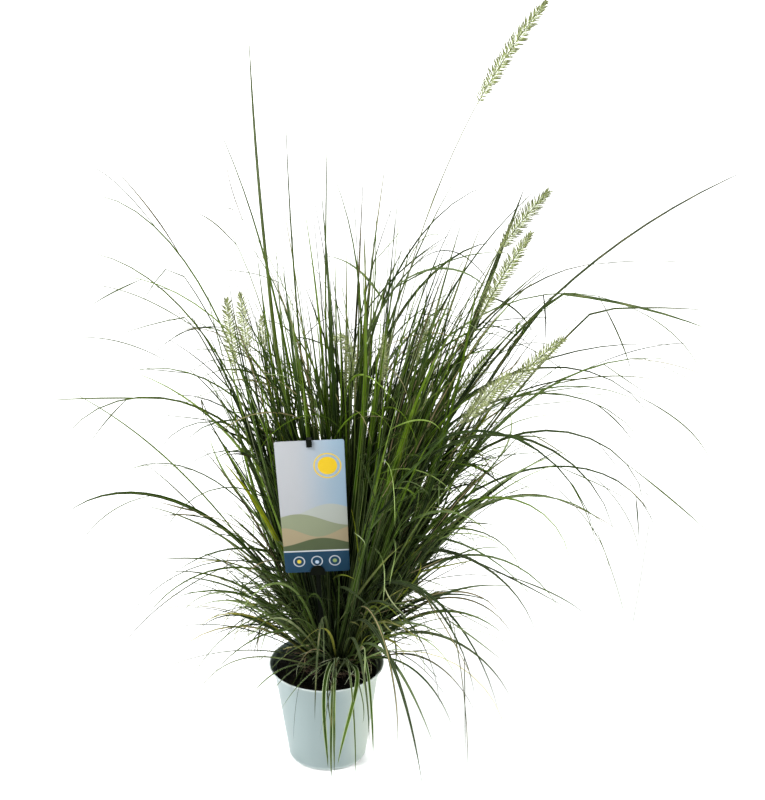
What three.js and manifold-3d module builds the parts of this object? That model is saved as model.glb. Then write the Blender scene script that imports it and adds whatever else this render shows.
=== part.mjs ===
// A fountain grass in its nursery pot: a flared pot, the root ball in it, one clump of keeled
// leaves and flower stems, a bottlebrush head on each stem, and a care card on a pointed stake.
// Millimetres, +Z up, +X to the right and the card facing -Y. The origin is the middle of the
// pot's underside.
import * as THREE from 'three';
import { mergeVertices } from 'three/addons/utils/BufferGeometryUtils.js';
import Module from 'manifold-3d';

const wasm = await Module();
wasm.setup();

// Pot: a 13 cm nursery pot whose wall flares into the rim
const POT_HEIGHT = 117;
const RIM_RADIUS = 65;
const BASE_RADIUS = 43.5;
const FLARE_START_HEIGHT = 96;
const FLARE_START_RADIUS = 57;
const WALL = 2;
const BASE_THICKNESS = 3;
const BASE_CORNER = 3;
const DRAIN_HOLES = 6;
const DRAIN_RADIUS = 4;
const DRAIN_CIRCLE = 30;
const POT_SIDES = 36;

// Root ball: fills the pot to a little below the rim
const SOIL_LEVEL = 107;
const SOIL_RELIEF = 1.6;
const GAP = 0.3;

// Crown: the dense base that every leaf and stem grows from, off the middle of the pot
const CROWN_X = 14;
const CROWN_Y = 18;
const CROWN_RADIUS = 30.5;
const CROWN_FLOOR = 94;
const CROWN_EDGE_HEIGHT = 111.5;
const CROWN_TOP_HEIGHT = 115;
const CROWN_SIDES = 24;
const ROOT_DEPTH = 3.5;
const ROOT_SPREAD = 29;
const ROOT_EDGE_LEAN = 40;
const SUNFLOWER_TURN = 137.508;

// Care card and the stake that holds it
const CARD_WIDTH_TOP = 74;
const CARD_WIDTH_BOTTOM = 69.5;
const CARD_HEIGHT = 157;
const CARD_THICKNESS = 1;
const CARD_CORNER = 4;
const CARD_BOTTOM = 249;
const CARD_X = -7;
const CARD_Y = -35;
const CARD_LEAN = 2;
const CARD_TILT = 2.6;
const STAKE_WIDTH = 5;
const STAKE_DEPTH = 3;
const STAKE_FOOT = 55;
const STAKE_POINT = 22;
const HOOK_WIDTH = 6;
const HOOK_LENGTH = 7;
const CLIP_RADIUS = 8;
const CLIP_THICKNESS = 1.6;
const VIEW_DOWN = 25;

// Leaves
const LEAF_SIDES = 3;
const LEAF_KEEL = 1.3;
const LEAF_STATIONS = 24;
const LEAF_COUNT = 238;
const LEAF_SEED = 2024;
const CLUMP_LEAN = 7;
const OUTLINE_TWIST = 80;
const EDGE_RING = 0.5;
const FACING_SPREAD = 60;
const SWING_SPREAD = 50;
const TWIST_SPREAD = 240;
const LATE = [1.5, 3.1];
const LEAF_CLEARANCE = 1.5;
const FLOOR_CLEARANCE = 6;
const RIM_CLEARANCE = 4;
const RIM_REACH = 12;
const CHECKS_PER_STATION = 5;

// Kinds of leaf between the outline ones, with the least and most of each size. The share is out
// of those at the crown's edge, because in its middle all leaves are tall. Tall leaves lean more
// and are shorter towards the edge.
const TALL_LEAVES = {
  share: 0.58,
  edgeLean: 21,
  leanSpread: 4,
  shorterAtEdge: 0.27,
  length: [330, 600],
  droop: [16, 61],
  width: [2.4, 5.2],
};
const ARCHING_LEAVES = {
  share: 0.08,
  lean: [6, 26],
  length: [270, 510],
  droop: [10, 150],
  width: [2.2, 3.8],
};
const SHORT_LEAVES = {
  lean: [15, 63],
  length: [95, 275],
  droop: [70, 120],
  width: [1.8, 3.6],
};

// Leaves that draw the clump's outline. Each row: direction round the crown, lean from upright at
// the root, length, droop from root to tip, how late the droop gathers, and width, then for a
// creased leaf where it creases (a part of its length) and by how much. Degrees and millimetres.
const OUTLINE_LEAVES = [
  // Tall and upright
  [182, 11, 725, -10, 1.0, 5.5],
  [164, 6, 660, -6, 2.0, 3.0],
  [198, 7, 675, 19, 3.4, 3.0],
  [134, 0, 600, 77, 2.3, 3.0],
  [150, 4, 635, -7, 1.0, 4.0],
  [175, -6, 595, 33, 4.0, 3.2],
  [77, 14, 600, 27, 1.6, 3.4],
  [-39, 0, 580, 26, 2.0, 3.6],
  [31, 0, 610, 40, 1.4, 3.2],
  [34, 2, 635, 98, 3.4, 3.4],
  [-27, 0, 550, 54, 2.8, 4.6],
  [43, 13, 510, 18, 1.8, 4.0],
  [39, 0, 570, 98, 2.6, 3.4],
  [30, 22, 570, 2, 1.5, 6.5],
  [40, 20, 605, 19, 1.7, 3.0],
  [7, 7, 635, 51, 2.0, 3.2],
  // Reaching right
  [-1, 13, 740, 53, 1.3, 4.4],
  [25, 10, 615, 96, 2.2, 3.6],
  [-6, 10, 570, 48, 2.0, 3.0],
  [-4, 24, 620, 31, 2.0, 5.6, 0.8, 40],
  [1, 21, 660, 33, 2.2, 5.0, 0.74, 59],
  [3, 0, 670, 136, 2.0, 2.6],
  [-10, 2, 625, 98, 1.3, 3.0],
  [-11, 23, 575, 84, 3.0, 3.6],
  [9, 9, 490, 73, 1.2, 3.0],
  [-13, 11, 600, 151, 2.7, 3.6],
  [-1, 7, 575, 151, 2.1, 3.4],
  [-8, 11, 560, 122, 2.2, 3.0],
  [-35, 11, 590, 167, 2.4, 4.4],
  [-44, 13, 620, 165, 2.5, 3.6],
  [0, 19, 420, 135, 1.9, 3.4],
  [-18, 19, 560, 176, 3.0, 3.6],
  [14, 19, 535, 155, 1.6, 3.0],
  [11, 27, 335, 97, 2.4, 6.0],
  [-28, 4, 385, 160, 1.4, 5.0],
  [-38, 0, 410, 138, 1.2, 3.4],
  [-33, 33, 245, 119, 1.3, 3.8],
  // Falling towards the front right
  [-55, 7, 400, 150, 1.2, 3.8],
  [-59, 16, 380, 148, 1.6, 3.8],
  [-73, 34, 355, 78, 1.0, 4.2],
  [-74, 17, 400, 133, 1.0, 5.0],
  [-75, 21, 360, 172, 1.7, 3.8],
  [-80, 32, 280, 168, 1.9, 3.6],
  // Hanging over the front of the pot
  [-92, 34, 238, 165, 1.3, 5.0],
  [-90, 35, 233, 165, 1.4, 4.6],
  [-84, 36, 236, 165, 1.4, 4.8],
  // Falling to the left
  [-111, 32, 345, 129, 2.2, 5.0],
  [-134, 21, 215, 104, 1.0, 4.6],
  [-137, 14, 275, 138, 1.1, 3.0],
  [-130, 11, 380, 142, 1.4, 3.4],
  [-151, 13, 320, 133, 1.5, 3.8],
  [204, -1, 295, 127, 1.3, 3.8],
  [181, 23, 295, 56, 1.4, 3.6],
  [181, 27, 390, 107, 2.4, 6.2],
  // Arching out on the left
  [150, 18, 640, 88, 4.5, 4.4],
  [153, 16, 585, 82, 3.0, 4.0],
  [125, 18, 630, 94, 4.3, 4.2],
  [156, 17, 560, 52, 4.5, 4.0, 0.86, 90],
  [172, 16, 520, 26, 2.8, 3.4, 0.83, 72],
  [176, 7, 475, 112, 2.8, 3.2],
  [172, 30, 445, 38, 2.0, 2.8],
  [-170, 8, 535, 152, 2.6, 3.4],
  [159, 21, 365, 107, 2.2, 3.0],
  [157, 4, 575, 97, 2.1, 3.2],
  [152, -1, 507, 130, 2.7, 3.2],
  // Low and short at the sides
  [170, 38, 190, 60, 1.6, 3.6],
  [195, 42, 170, 55, 1.5, 3.4],
  [150, 44, 200, 50, 1.6, 3.4],
  [182, 32, 215, 65, 1.7, 3.8],
  [205, 28, 230, 75, 1.7, 3.6],
  [-20, 34, 240, 60, 1.8, 3.6],
  [10, 38, 220, 50, 1.6, 3.4],
  [-35, 30, 250, 70, 1.8, 3.4],
];

// Flower stems with their heads. Each row: direction, lean, length with the head, droop, how late
// the droop gathers, the head's own length and its radius over the bristles.
const FLOWER_STEMS = [
  [13, 6.5, 775, 35, 2.5, 118, 9],
  [20, 14, 583, 35, 2.5, 80, 9],
  [0, 16, 541, 17, 2.5, 100, 8.5],
  [-15, 21, 473, 28, 2.5, 90, 8.5],
  [-25, 18.5, 423, 25, 2.5, 73, 9],
  [28, 20, 387, 27, 2.5, 68, 8],
  [198, 17.5, 458, -15, 2.5, 75, 7.5],
  [165, 16, 439, -12, 2.5, 65, 7.5],
  [180, -3, 404, 150, 30, 78, 8],
  [-30, 10.5, 406, -11, 2.5, 48, 5.5],
  [5, 10, 415, 9, 2.5, 55, 6],
  [40, 16, 367, 34, 2.5, 44, 6],
  [142, 17.5, 401, -15, 2.5, 38, 5.5],
];
const STEM_THICKNESS = 2;
const STEM_SIDES = 3;
const STEM_STEPS = 6;
const HEAD_SIDES = 6;
const HEAD_CORE = 0.3;
const HEAD_RING_LENGTH = 7.5;

// Colours seen in daylight
const COLOURS = {
  pot: { color: 0xcbd8dd, roughness: 0.45, metalness: 0 },
  soil: { color: 0x241a14, roughness: 0.95, metalness: 0 },
  leaf: { color: 0x4d6b33, roughness: 0.6, metalness: 0 },
  head: { color: 0xb4bd86, roughness: 0.85, metalness: 0 },
  card: { color: 0xb9cbe4, roughness: 0.35, metalness: 0 },
  stake: { color: 0x15181a, roughness: 0.4, metalness: 0 },
};

const radians = THREE.MathUtils.degToRad;

// A repeatable draw between 0 and 1
function makeDraw(seed) {
  let state = seed;
  return () => {
    state = (state + 0x6d2b79f5) | 0;
    let mixed = Math.imul(state ^ (state >>> 15), 1 | state);
    mixed = (mixed + Math.imul(mixed ^ (mixed >>> 7), 61 | mixed)) ^ mixed;
    return ((mixed ^ (mixed >>> 14)) >>> 0) / 4294967296;
  };
}

function toSolid(geometry) {
  const bare = geometry.index ? geometry.clone() : geometry;
  bare.deleteAttribute('normal');
  bare.deleteAttribute('uv');
  const merged = mergeVertices(bare, 1e-4);
  return new wasm.Manifold(new wasm.Mesh({
    numProp: 3,
    vertProperties: new Float32Array(merged.attributes.position.array),
    triVerts: new Uint32Array(merged.index.array),
  }));
}

function toGeometry(solid) {
  const mesh = solid.getMesh();
  const geometry = new THREE.BufferGeometry();
  geometry.setAttribute('position', new THREE.BufferAttribute(mesh.vertProperties, 3));
  geometry.setIndex(new THREE.BufferAttribute(mesh.triVerts, 1));
  return geometry;
}

function namedMesh(name, geometry, look) {
  const shaded = geometry.index ? geometry.toNonIndexed() : geometry;
  shaded.computeVertexNormals();
  const mesh = new THREE.Mesh(shaded, new THREE.MeshStandardMaterial(COLOURS[look]));
  mesh.name = name;
  return mesh;
}

// An upright cylinder from z0 to z1 on the point (x, y)
function upright(radius, z0, z1, x, y, sides) {
  const geometry = new THREE.CylinderGeometry(radius, radius, z1 - z0, sides);
  geometry.rotateX(Math.PI / 2);
  geometry.translate(x, y, (z0 + z1) / 2);
  return toSolid(geometry);
}

// A lathe turns its profile round Y, so it is stood up on Z
function turned(profile, sides) {
  const geometry = new THREE.LatheGeometry(profile, sides);
  geometry.rotateX(Math.PI / 2);
  return geometry;
}

// Outer radius of the pot's wall at a height, with the flare under the rim
function wallRadius(z) {
  const slope = (FLARE_START_RADIUS - BASE_RADIUS) / FLARE_START_HEIGHT;
  const flare = Math.max(0, z - FLARE_START_HEIGHT) / (POT_HEIGHT - FLARE_START_HEIGHT);
  const straight = BASE_RADIUS + slope * z;
  const extra = RIM_RADIUS - (BASE_RADIUS + slope * POT_HEIGHT);
  return straight + extra * flare * flare;
}

function potWallProfile() {
  const heights = [BASE_CORNER, 34, 65, FLARE_START_HEIGHT, 103, 109, 113.5];
  const outside = heights.map((z) => new THREE.Vector2(wallRadius(z), z));
  const inside = heights.slice(1).reverse()
    .map((z) => new THREE.Vector2(wallRadius(z) - WALL, z));
  return [
    new THREE.Vector2(0, 0),
    new THREE.Vector2(BASE_RADIUS - BASE_CORNER, 0),
    new THREE.Vector2(BASE_RADIUS - 0.8, 0.9),
    ...outside,
    new THREE.Vector2(RIM_RADIUS, POT_HEIGHT - 1),
    new THREE.Vector2(RIM_RADIUS - 0.9, POT_HEIGHT),
    new THREE.Vector2(RIM_RADIUS - WALL, POT_HEIGHT - 0.6),
    ...inside,
    new THREE.Vector2(BASE_RADIUS - WALL, BASE_THICKNESS),
    new THREE.Vector2(0, BASE_THICKNESS),
  ];
}

function makePot() {
  let pot = toSolid(turned(potWallProfile(), POT_SIDES));
  for (let i = 0; i < DRAIN_HOLES; i += 1) {
    const angle = (2 * Math.PI * i) / DRAIN_HOLES;
    const x = DRAIN_CIRCLE * Math.cos(angle);
    const y = DRAIN_CIRCLE * Math.sin(angle);
    pot = pot.subtract(upright(DRAIN_RADIUS, -1, BASE_THICKNESS + 1, x, y, 10));
  }
  return namedMesh('pot', toGeometry(pot), 'pot');
}

// Soft lumps of peat, by a formula over the soil's surface
function soilRelief(x, y) {
  const broad = Math.sin(x * 0.11 + 1.3) * Math.cos(y * 0.13 - 0.4);
  const lumps = Math.sin(x * 0.33 - y * 0.21) * Math.sin(y * 0.37 + x * 0.12 + 2);
  return SOIL_RELIEF * (0.6 * broad + 0.4 * lumps);
}

function makeSoil() {
  const inner = (z) => wallRadius(z) - WALL - GAP;
  const edge = inner(SOIL_LEVEL - 2);
  const profile = [
    new THREE.Vector2(0, BASE_THICKNESS + GAP),
    new THREE.Vector2(BASE_RADIUS - WALL - GAP, BASE_THICKNESS + GAP),
    new THREE.Vector2(inner(FLARE_START_HEIGHT), FLARE_START_HEIGHT),
    new THREE.Vector2(edge, SOIL_LEVEL - 2),
  ];
  const topFrom = profile.length;
  for (const part of [0.93, 0.84, 0.74, 0.62, 0.48, 0.3, 0]) {
    profile.push(new THREE.Vector2(edge * part, SOIL_LEVEL));
  }
  const geometry = turned(profile, POT_SIDES);
  const places = geometry.attributes.position;
  for (let i = 0; i < places.count; i += 1) {
    if (i % profile.length >= topFrom) {
      const relief = soilRelief(places.getX(i), places.getY(i));
      places.setZ(i, places.getZ(i) + relief);
    }
  }
  const crownHole = upright(
    CROWN_RADIUS + GAP, CROWN_FLOOR - GAP, POT_HEIGHT, CROWN_X, CROWN_Y, CROWN_SIDES,
  );
  const soil = toSolid(geometry).subtract(crownHole).subtract(stakeHole());
  return namedMesh('root_ball', toGeometry(soil), 'soil');
}

function domeHeight(distance) {
  const part = distance / CROWN_RADIUS;
  return CROWN_TOP_HEIGHT - (CROWN_TOP_HEIGHT - CROWN_EDGE_HEIGHT) * part * part;
}

// Places for the roots on the crown, in a sunflower's order from the middle outwards
function rootPlaces(count) {
  const places = [];
  for (let i = 0; i < count; i += 1) {
    const distance = ROOT_SPREAD * Math.sqrt((i + 0.5) / count);
    const angle = radians(SUNFLOWER_TURN * i);
    places.push({ x: distance * Math.cos(angle), y: distance * Math.sin(angle) });
  }
  return places;
}

// Gives a leaf or stem the free root place nearest to where its lean would start it
function takeRoot(leaf, places) {
  const spread = ROOT_SPREAD * Math.min(1, Math.abs(leaf.lean) / ROOT_EDGE_LEAN);
  const x = spread * Math.cos(radians(leaf.direction));
  const y = spread * Math.sin(radians(leaf.direction));
  const away = (place) => Math.hypot(place.x - x, place.y - y);
  const root = places.reduce((best, place) => (away(place) < away(best) ? place : best));
  places.splice(places.indexOf(root), 1);
  return { ...leaf, root };
}

// The middle line of a leaf or stem: its points, and its direction and side at each of them
function middleLine(leaf) {
  const direction = radians(leaf.direction);
  const { root } = leaf;
  const rootZ = domeHeight(Math.hypot(root.x, root.y)) - ROOT_DEPTH;
  const point = new THREE.Vector3(CROWN_X + root.x, CROWN_Y + root.y, rootZ);
  const line = { points: [point.clone()], tangents: [], sides: [] };
  const step = leaf.length / LEAF_STATIONS;
  for (let i = 0; i <= LEAF_STATIONS; i += 1) {
    const part = Math.min(1, (i + 0.5) / LEAF_STATIONS);
    let angle = radians(leaf.lean) + radians(leaf.droop) * part ** leaf.late;
    if (leaf.crease) {
      const folded = Math.min(1, Math.max(0, (part - leaf.creaseAt) / 0.05 + 0.5));
      angle += radians(leaf.crease) * folded;
    }
    const heading = direction + radians(leaf.swing ?? 0) * part ** 1.5;
    const tangent = new THREE.Vector3(
      Math.sin(angle) * Math.cos(heading),
      Math.sin(angle) * Math.sin(heading),
      Math.cos(angle),
    );
    if (leaf.sway) {
      tangent.x += leaf.sway * tangent.z;
    }
    tangent.normalize();
    line.tangents.push(tangent);
    line.sides.push(new THREE.Vector3(-Math.sin(heading), Math.cos(heading), 0));
    if (i < LEAF_STATIONS) {
      point.addScaledVector(tangent, step);
      line.points.push(point.clone());
    }
  }
  return line;
}

// How wide a leaf is along its length, as a part of its full width
function leafTaper(part) {
  const sheath = 0.45 + 0.55 * Math.min(1, part / 0.3);
  return sheath * (1 - part ** 2.6);
}

// Bends a three-sided cone along the middle line: two edges and a keel underneath. The cone's
// unit section measures the square root of 3 across its edges and 1.5 down to its keel.
function makeBlade(leaf, segments, width, keel, taper) {
  const line = middleLine(leaf);
  const geometry = new THREE.ConeGeometry(1, 1, LEAF_SIDES, segments);
  const places = geometry.attributes.position;
  for (let i = 0; i < places.count; i += 1) {
    const part = places.getY(i) + 0.5;
    const open = Math.max(1e-9, 1 - part);
    const across = part > 0.999 ? 0 : places.getX(i) / open;
    const below = part > 0.999 ? 0 : places.getZ(i) / open;
    const station = Math.round(part * LEAF_STATIONS);
    const tangent = line.tangents[station];
    const turn = radians(leaf.twist ?? 0) * (0.4 + part);
    const side = line.sides[station].clone().applyAxisAngle(tangent, turn);
    const under = new THREE.Vector3().crossVectors(side, tangent);
    const size = taper(part);
    const thick = keel * (0.55 + 0.45 * size);
    const place = line.points[station].clone();
    place.addScaledVector(side, (across * width * size) / Math.sqrt(3));
    place.addScaledVector(under, (below * thick) / 1.5);
    places.setXYZ(i, place.x, place.y, place.z);
  }
  return toSolid(geometry);
}

// A leaf that leans to the left or right is twisted, so that its flat side shows from the front
function outlineLeaf(row) {
  const [direction, lean, length, droop, late, width, creaseAt, crease] = row;
  const twist = OUTLINE_TWIST * Math.abs(Math.cos(radians(direction)));
  return { direction, lean, length, droop, late, width, creaseAt, crease, twist };
}

// A leaf between the outline ones, each with its own seeded difference: most are long and upright,
// a few arch outwards, and those at the crown's edge may stay short and fall over the pot
function seededLeaf(root, draw) {
  const between = ([least, most], part = draw()) => least + (most - least) * part;
  const ring = Math.hypot(root.x, root.y) / ROOT_SPREAD;
  const facing = THREE.MathUtils.radToDeg(Math.atan2(root.y, root.x));
  const kind = ring < EDGE_RING ? 0 : draw();
  const leaf = {
    root,
    direction: facing + (draw() - 0.5) * FACING_SPREAD,
    late: between(LATE),
    swing: (draw() - 0.5) * SWING_SPREAD,
    twist: (draw() - 0.5) * TWIST_SPREAD,
  };
  if (kind < TALL_LEAVES.share) {
    const { edgeLean, leanSpread, shorterAtEdge } = TALL_LEAVES;
    leaf.lean = edgeLean * ring ** 1.25 + (draw() - 0.5) * leanSpread;
    leaf.length = between(TALL_LEAVES.length) * (1 - shorterAtEdge * ring * ring);
    leaf.droop = between(TALL_LEAVES.droop, draw() ** 2);
    leaf.width = between(TALL_LEAVES.width);
    leaf.sway = Math.tan(radians(CLUMP_LEAN));
    return leaf;
  }
  const arching = kind < TALL_LEAVES.share + ARCHING_LEAVES.share;
  const sizes = arching ? ARCHING_LEAVES : SHORT_LEAVES;
  leaf.lean = between(sizes.lean);
  leaf.length = between(sizes.length);
  leaf.droop = between(sizes.droop);
  leaf.width = between(sizes.width);
  leaf.sway = arching ? Math.tan(radians(CLUMP_LEAN / 2)) : 0;
  return leaf;
}

function stemOf(row) {
  const [direction, lean, length, droop, late, headLength, headRadius] = row;
  return { direction, lean, length, droop, late, headLength, headRadius };
}

// The point and direction at a distance along a stem
function alongStem(line, stem, distance) {
  const station = (distance / stem.length) * LEAF_STATIONS;
  const low = Math.min(LEAF_STATIONS - 1, Math.floor(station));
  const part = station - low;
  const point = line.points[low].clone().lerp(line.points[low + 1], part);
  const tangent = line.tangents[low].clone();
  return { point, tangent };
}

// Distance from a point to a stretch from start to end
function distanceTo(point, start, end) {
  const nearest = new THREE.Line3(start, end).closestPointToPoint(point, true, new THREE.Vector3());
  return nearest.distanceTo(point);
}

// The stretches that the heads fill, so that no leaf passes through one
function headStretches(stems) {
  const stretches = [];
  for (const stem of stems) {
    const line = middleLine(stem);
    const pieces = 4;
    for (let i = 0; i < pieces; i += 1) {
      const from = stem.length - stem.headLength * (1 - i / pieces);
      const to = stem.length - stem.headLength * (1 - (i + 1) / pieces);
      stretches.push({
        start: alongStem(line, stem, from).point,
        end: alongStem(line, stem, to).point,
        radius: stem.headRadius,
      });
    }
  }
  return stretches;
}

// True where a leaf's middle line keeps off the pot, the floor, the card and every head
function runsClear(leaf, stretches) {
  const { points } = middleLine(leaf);
  const room = leaf.width / 2 + LEAF_CLEARANCE;
  const steps = LEAF_STATIONS * CHECKS_PER_STATION;
  for (let i = 1; i <= steps; i += 1) {
    const station = Math.floor((i - 1) / CHECKS_PER_STATION);
    const part = i / CHECKS_PER_STATION - station;
    const point = points[station].clone().lerp(points[station + 1], part);
    const out = Math.hypot(point.x, point.y);
    if (point.z < FLOOR_CLEARANCE) return false;
    if (out < RIM_RADIUS + RIM_CLEARANCE && point.z < POT_HEIGHT + RIM_CLEARANCE) {
      if (station > 1 || out > RIM_RADIUS - RIM_REACH) return false;
    }
    if (nearCard(point, room)) return false;
    if (stretches.some(({ start, end, radius }) => distanceTo(point, start, end) < radius + room)) {
      return false;
    }
  }
  return true;
}

// A leaf that would run through something is turned a little to either side until it is clear
function bentClear(leaf, stretches) {
  for (const turn of [0, 4, -4, 8, -8, 13, -13, 19, -19]) {
    const turnedLeaf = { ...leaf, direction: leaf.direction + turn };
    if (runsClear(turnedLeaf, stretches)) return turnedLeaf;
  }
  return null;
}

// More lengths of cone for a long or a sharply bent leaf
function segmentsFor(leaf) {
  const bend = Math.abs(leaf.droop) + Math.abs(leaf.crease ?? 0);
  if (bend > 140 || (leaf.length > 450 && bend > 60)) return 6;
  return leaf.length > 300 || bend > 90 ? 4 : 3;
}

function makeClump(stems, places, stretches) {
  const profile = [
    new THREE.Vector2(0, CROWN_FLOOR),
    new THREE.Vector2(CROWN_RADIUS, CROWN_FLOOR),
    new THREE.Vector2(CROWN_RADIUS, domeHeight(CROWN_RADIUS)),
    new THREE.Vector2(CROWN_RADIUS * 0.6, domeHeight(CROWN_RADIUS * 0.6)),
    new THREE.Vector2(0, domeHeight(0)),
  ];
  const crown = turned(profile, CROWN_SIDES);
  crown.translate(CROWN_X, CROWN_Y, 0);
  const solids = [toSolid(crown)];
  const leaves = OUTLINE_LEAVES.map((row) => takeRoot(outlineLeaf(row), places));
  const draw = makeDraw(LEAF_SEED);
  for (const place of places) {
    leaves.push(seededLeaf(place, draw));
  }
  for (const leaf of leaves) {
    const clear = bentClear(leaf, stretches);
    if (clear) {
      solids.push(makeBlade(clear, segmentsFor(clear), clear.width, LEAF_KEEL, leafTaper));
    }
  }
  for (const stem of stems) {
    solids.push(makeStem(stem));
  }
  const clump = wasm.Manifold.union(solids);
  return namedMesh('grass_clump', toGeometry(clump), 'leaf');
}

// A three-sided stem with a flat end square to it, just under the head
function makeStem(stem) {
  const line = middleLine(stem);
  const bare = stem.length - stem.headLength;
  const geometry = new THREE.CylinderGeometry(1, 1, 1, STEM_SIDES, STEM_STEPS);
  bendAlong(geometry, line, stem, 0, bare - GAP, () => STEM_THICKNESS / 2);
  return toSolid(geometry);
}

// Bends a unit cylinder along a stem from one distance to another, with a radius at each part
function bendAlong(geometry, line, stem, from, to, radiusAt) {
  const places = geometry.attributes.position;
  for (let i = 0; i < places.count; i += 1) {
    const part = places.getY(i) + 0.5;
    const { point, tangent } = alongStem(line, stem, from + (to - from) * part);
    const side = new THREE.Vector3(0, 1, 0).cross(tangent).normalize();
    const other = new THREE.Vector3().crossVectors(side, tangent);
    const radius = radiusAt(part);
    point.addScaledVector(side, places.getX(i) * radius);
    point.addScaledVector(other, places.getZ(i) * radius);
    places.setXYZ(i, point.x, point.y, point.z);
  }
}

// A head's outline: quickly full, then narrowing to its tip
function headOutline(part) {
  return Math.min(1, 0.5 + 2.2 * part) * Math.sqrt(Math.max(0.05, 1 - part ** 3.2));
}

// A head: a slim six-sided spike whose every face is raised into a bristle that leans to the tip
function makeHead(stem, index) {
  const line = middleLine(stem);
  const rings = Math.max(4, Math.round(stem.headLength / HEAD_RING_LENGTH));
  const from = stem.length - stem.headLength;
  const core = stem.headRadius * HEAD_CORE;
  const geometry = new THREE.CylinderGeometry(1, 1, 1, HEAD_SIDES, rings);
  bendAlong(geometry, line, stem, from, stem.length, (part) => core * headOutline(part));
  geometry.deleteAttribute('normal');
  geometry.deleteAttribute('uv');
  const merged = mergeVertices(geometry, 1e-4);
  const places = Array.from(merged.attributes.position.array);
  const faces = Array.from(merged.index.array);
  const sideFaces = HEAD_SIDES * rings * 2;
  const corner = (i) => new THREE.Vector3().fromArray(places, 3 * i);
  const raised = [];
  for (let f = 0; f < sideFaces; f += 2) {
    const [a, b, d] = faces.slice(3 * f, 3 * f + 3);
    const c = faces[3 * f + 4];
    const middle = corner(a).add(corner(b)).add(corner(c)).add(corner(d)).divideScalar(4);
    raised.push({ a, b, c, d, middle });
  }
  const triangles = [];
  for (const face of raised) {
    const { point, tangent } = nearestOnHead(line, stem, face.middle);
    const outward = face.middle.clone().sub(point);
    outward.addScaledVector(tangent, -outward.dot(tangent)).normalize();
    const part = Math.min(1, Math.max(0, partOfHead(line, stem, face.middle)));
    const lift = stem.headRadius * (1 - HEAD_CORE) * headOutline(part);
    const apex = face.middle.clone().addScaledVector(outward, lift);
    apex.addScaledVector(tangent, lift * 1.2);
    const tip = places.length / 3;
    places.push(apex.x, apex.y, apex.z);
    triangles.push(face.a, face.b, tip, face.b, face.c, tip, face.c, face.d, tip, face.d, face.a, tip);
  }
  triangles.push(...faces.slice(3 * sideFaces));
  const spike = new THREE.BufferGeometry();
  spike.setAttribute('position', new THREE.Float32BufferAttribute(places, 3));
  spike.setIndex(triangles);
  const name = `flower_head_${String(index + 1).padStart(2, '0')}`;
  return namedMesh(name, spike, 'head');
}

// How far along its head a point lies, 0 at the foot and 1 at the tip
function partOfHead(line, stem, place) {
  let best = 0;
  let least = Infinity;
  const checks = 60;
  for (let i = 0; i <= checks; i += 1) {
    const distance = stem.length - stem.headLength * (1 - i / checks);
    const gap = alongStem(line, stem, distance).point.distanceTo(place);
    if (gap < least) {
      least = gap;
      best = i / checks;
    }
  }
  return best;
}

function nearestOnHead(line, stem, place) {
  const part = partOfHead(line, stem, place);
  return alongStem(line, stem, stem.length - stem.headLength * (1 - part));
}

// The card and its stake are drawn upright at the origin, then leaned and put in place together
function placeCard(geometry) {
  geometry.rotateY(radians(-CARD_TILT));
  geometry.rotateX(radians(CARD_LEAN));
  geometry.translate(CARD_X, CARD_Y, CARD_BOTTOM);
  return geometry;
}

// True where a point is within a distance of the card or its stake, or hides the card's face
// from someone who looks down on it from the front
function nearCard(point, distance) {
  const local = point.clone().sub(new THREE.Vector3(CARD_X, CARD_Y, CARD_BOTTOM));
  local.applyAxisAngle(new THREE.Vector3(1, 0, 0), radians(-CARD_LEAN));
  local.applyAxisAngle(new THREE.Vector3(0, 1, 0), radians(CARD_TILT));
  const seenHeight = local.z + Math.min(0, local.y) * Math.tan(radians(VIEW_DOWN));
  const sideways = Math.abs(local.x) < CARD_WIDTH_TOP / 2 + distance;
  const upright = seenHeight > -distance && seenHeight < CARD_HEIGHT + distance;
  if (sideways && upright && local.y < STAKE_DEPTH + 1 + distance) return true;
  const onStake = Math.abs(local.x) < STAKE_WIDTH / 2 + distance && local.z <= 0;
  return onStake && Math.abs(local.y - STAKE_DEPTH / 2) < STAKE_DEPTH / 2 + 1 + distance;
}

function cardShape() {
  const top = CARD_WIDTH_TOP / 2;
  const bottom = CARD_WIDTH_BOTTOM / 2;
  const r = CARD_CORNER;
  const shape = new THREE.Shape();
  shape.moveTo(-bottom + r, 0);
  shape.lineTo(bottom - r, 0);
  shape.quadraticCurveTo(bottom, 0, bottom, r);
  shape.lineTo(top, CARD_HEIGHT - r);
  shape.quadraticCurveTo(top, CARD_HEIGHT, top - r, CARD_HEIGHT);
  shape.lineTo(-top + r, CARD_HEIGHT);
  shape.quadraticCurveTo(-top, CARD_HEIGHT, -top, CARD_HEIGHT - r);
  shape.lineTo(-bottom, r);
  shape.quadraticCurveTo(-bottom, 0, -bottom + r, 0);
  return shape;
}

// Lies in the plane y = 0 with its printed face towards -Y
function makeCard() {
  const geometry = new THREE.ExtrudeGeometry(cardShape(), {
    depth: CARD_THICKNESS,
    bevelEnabled: false,
    curveSegments: 4,
  });
  geometry.rotateX(Math.PI / 2);
  return namedMesh('care_card', placeCard(geometry), 'card');
}

// A block between two corners
function block(x0, y0, z0, x1, y1, z1) {
  const geometry = new THREE.BoxGeometry(x1 - x0, y1 - y0, z1 - z0);
  geometry.translate((x0 + x1) / 2, (y0 + y1) / 2, (z0 + z1) / 2);
  return geometry;
}

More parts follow.
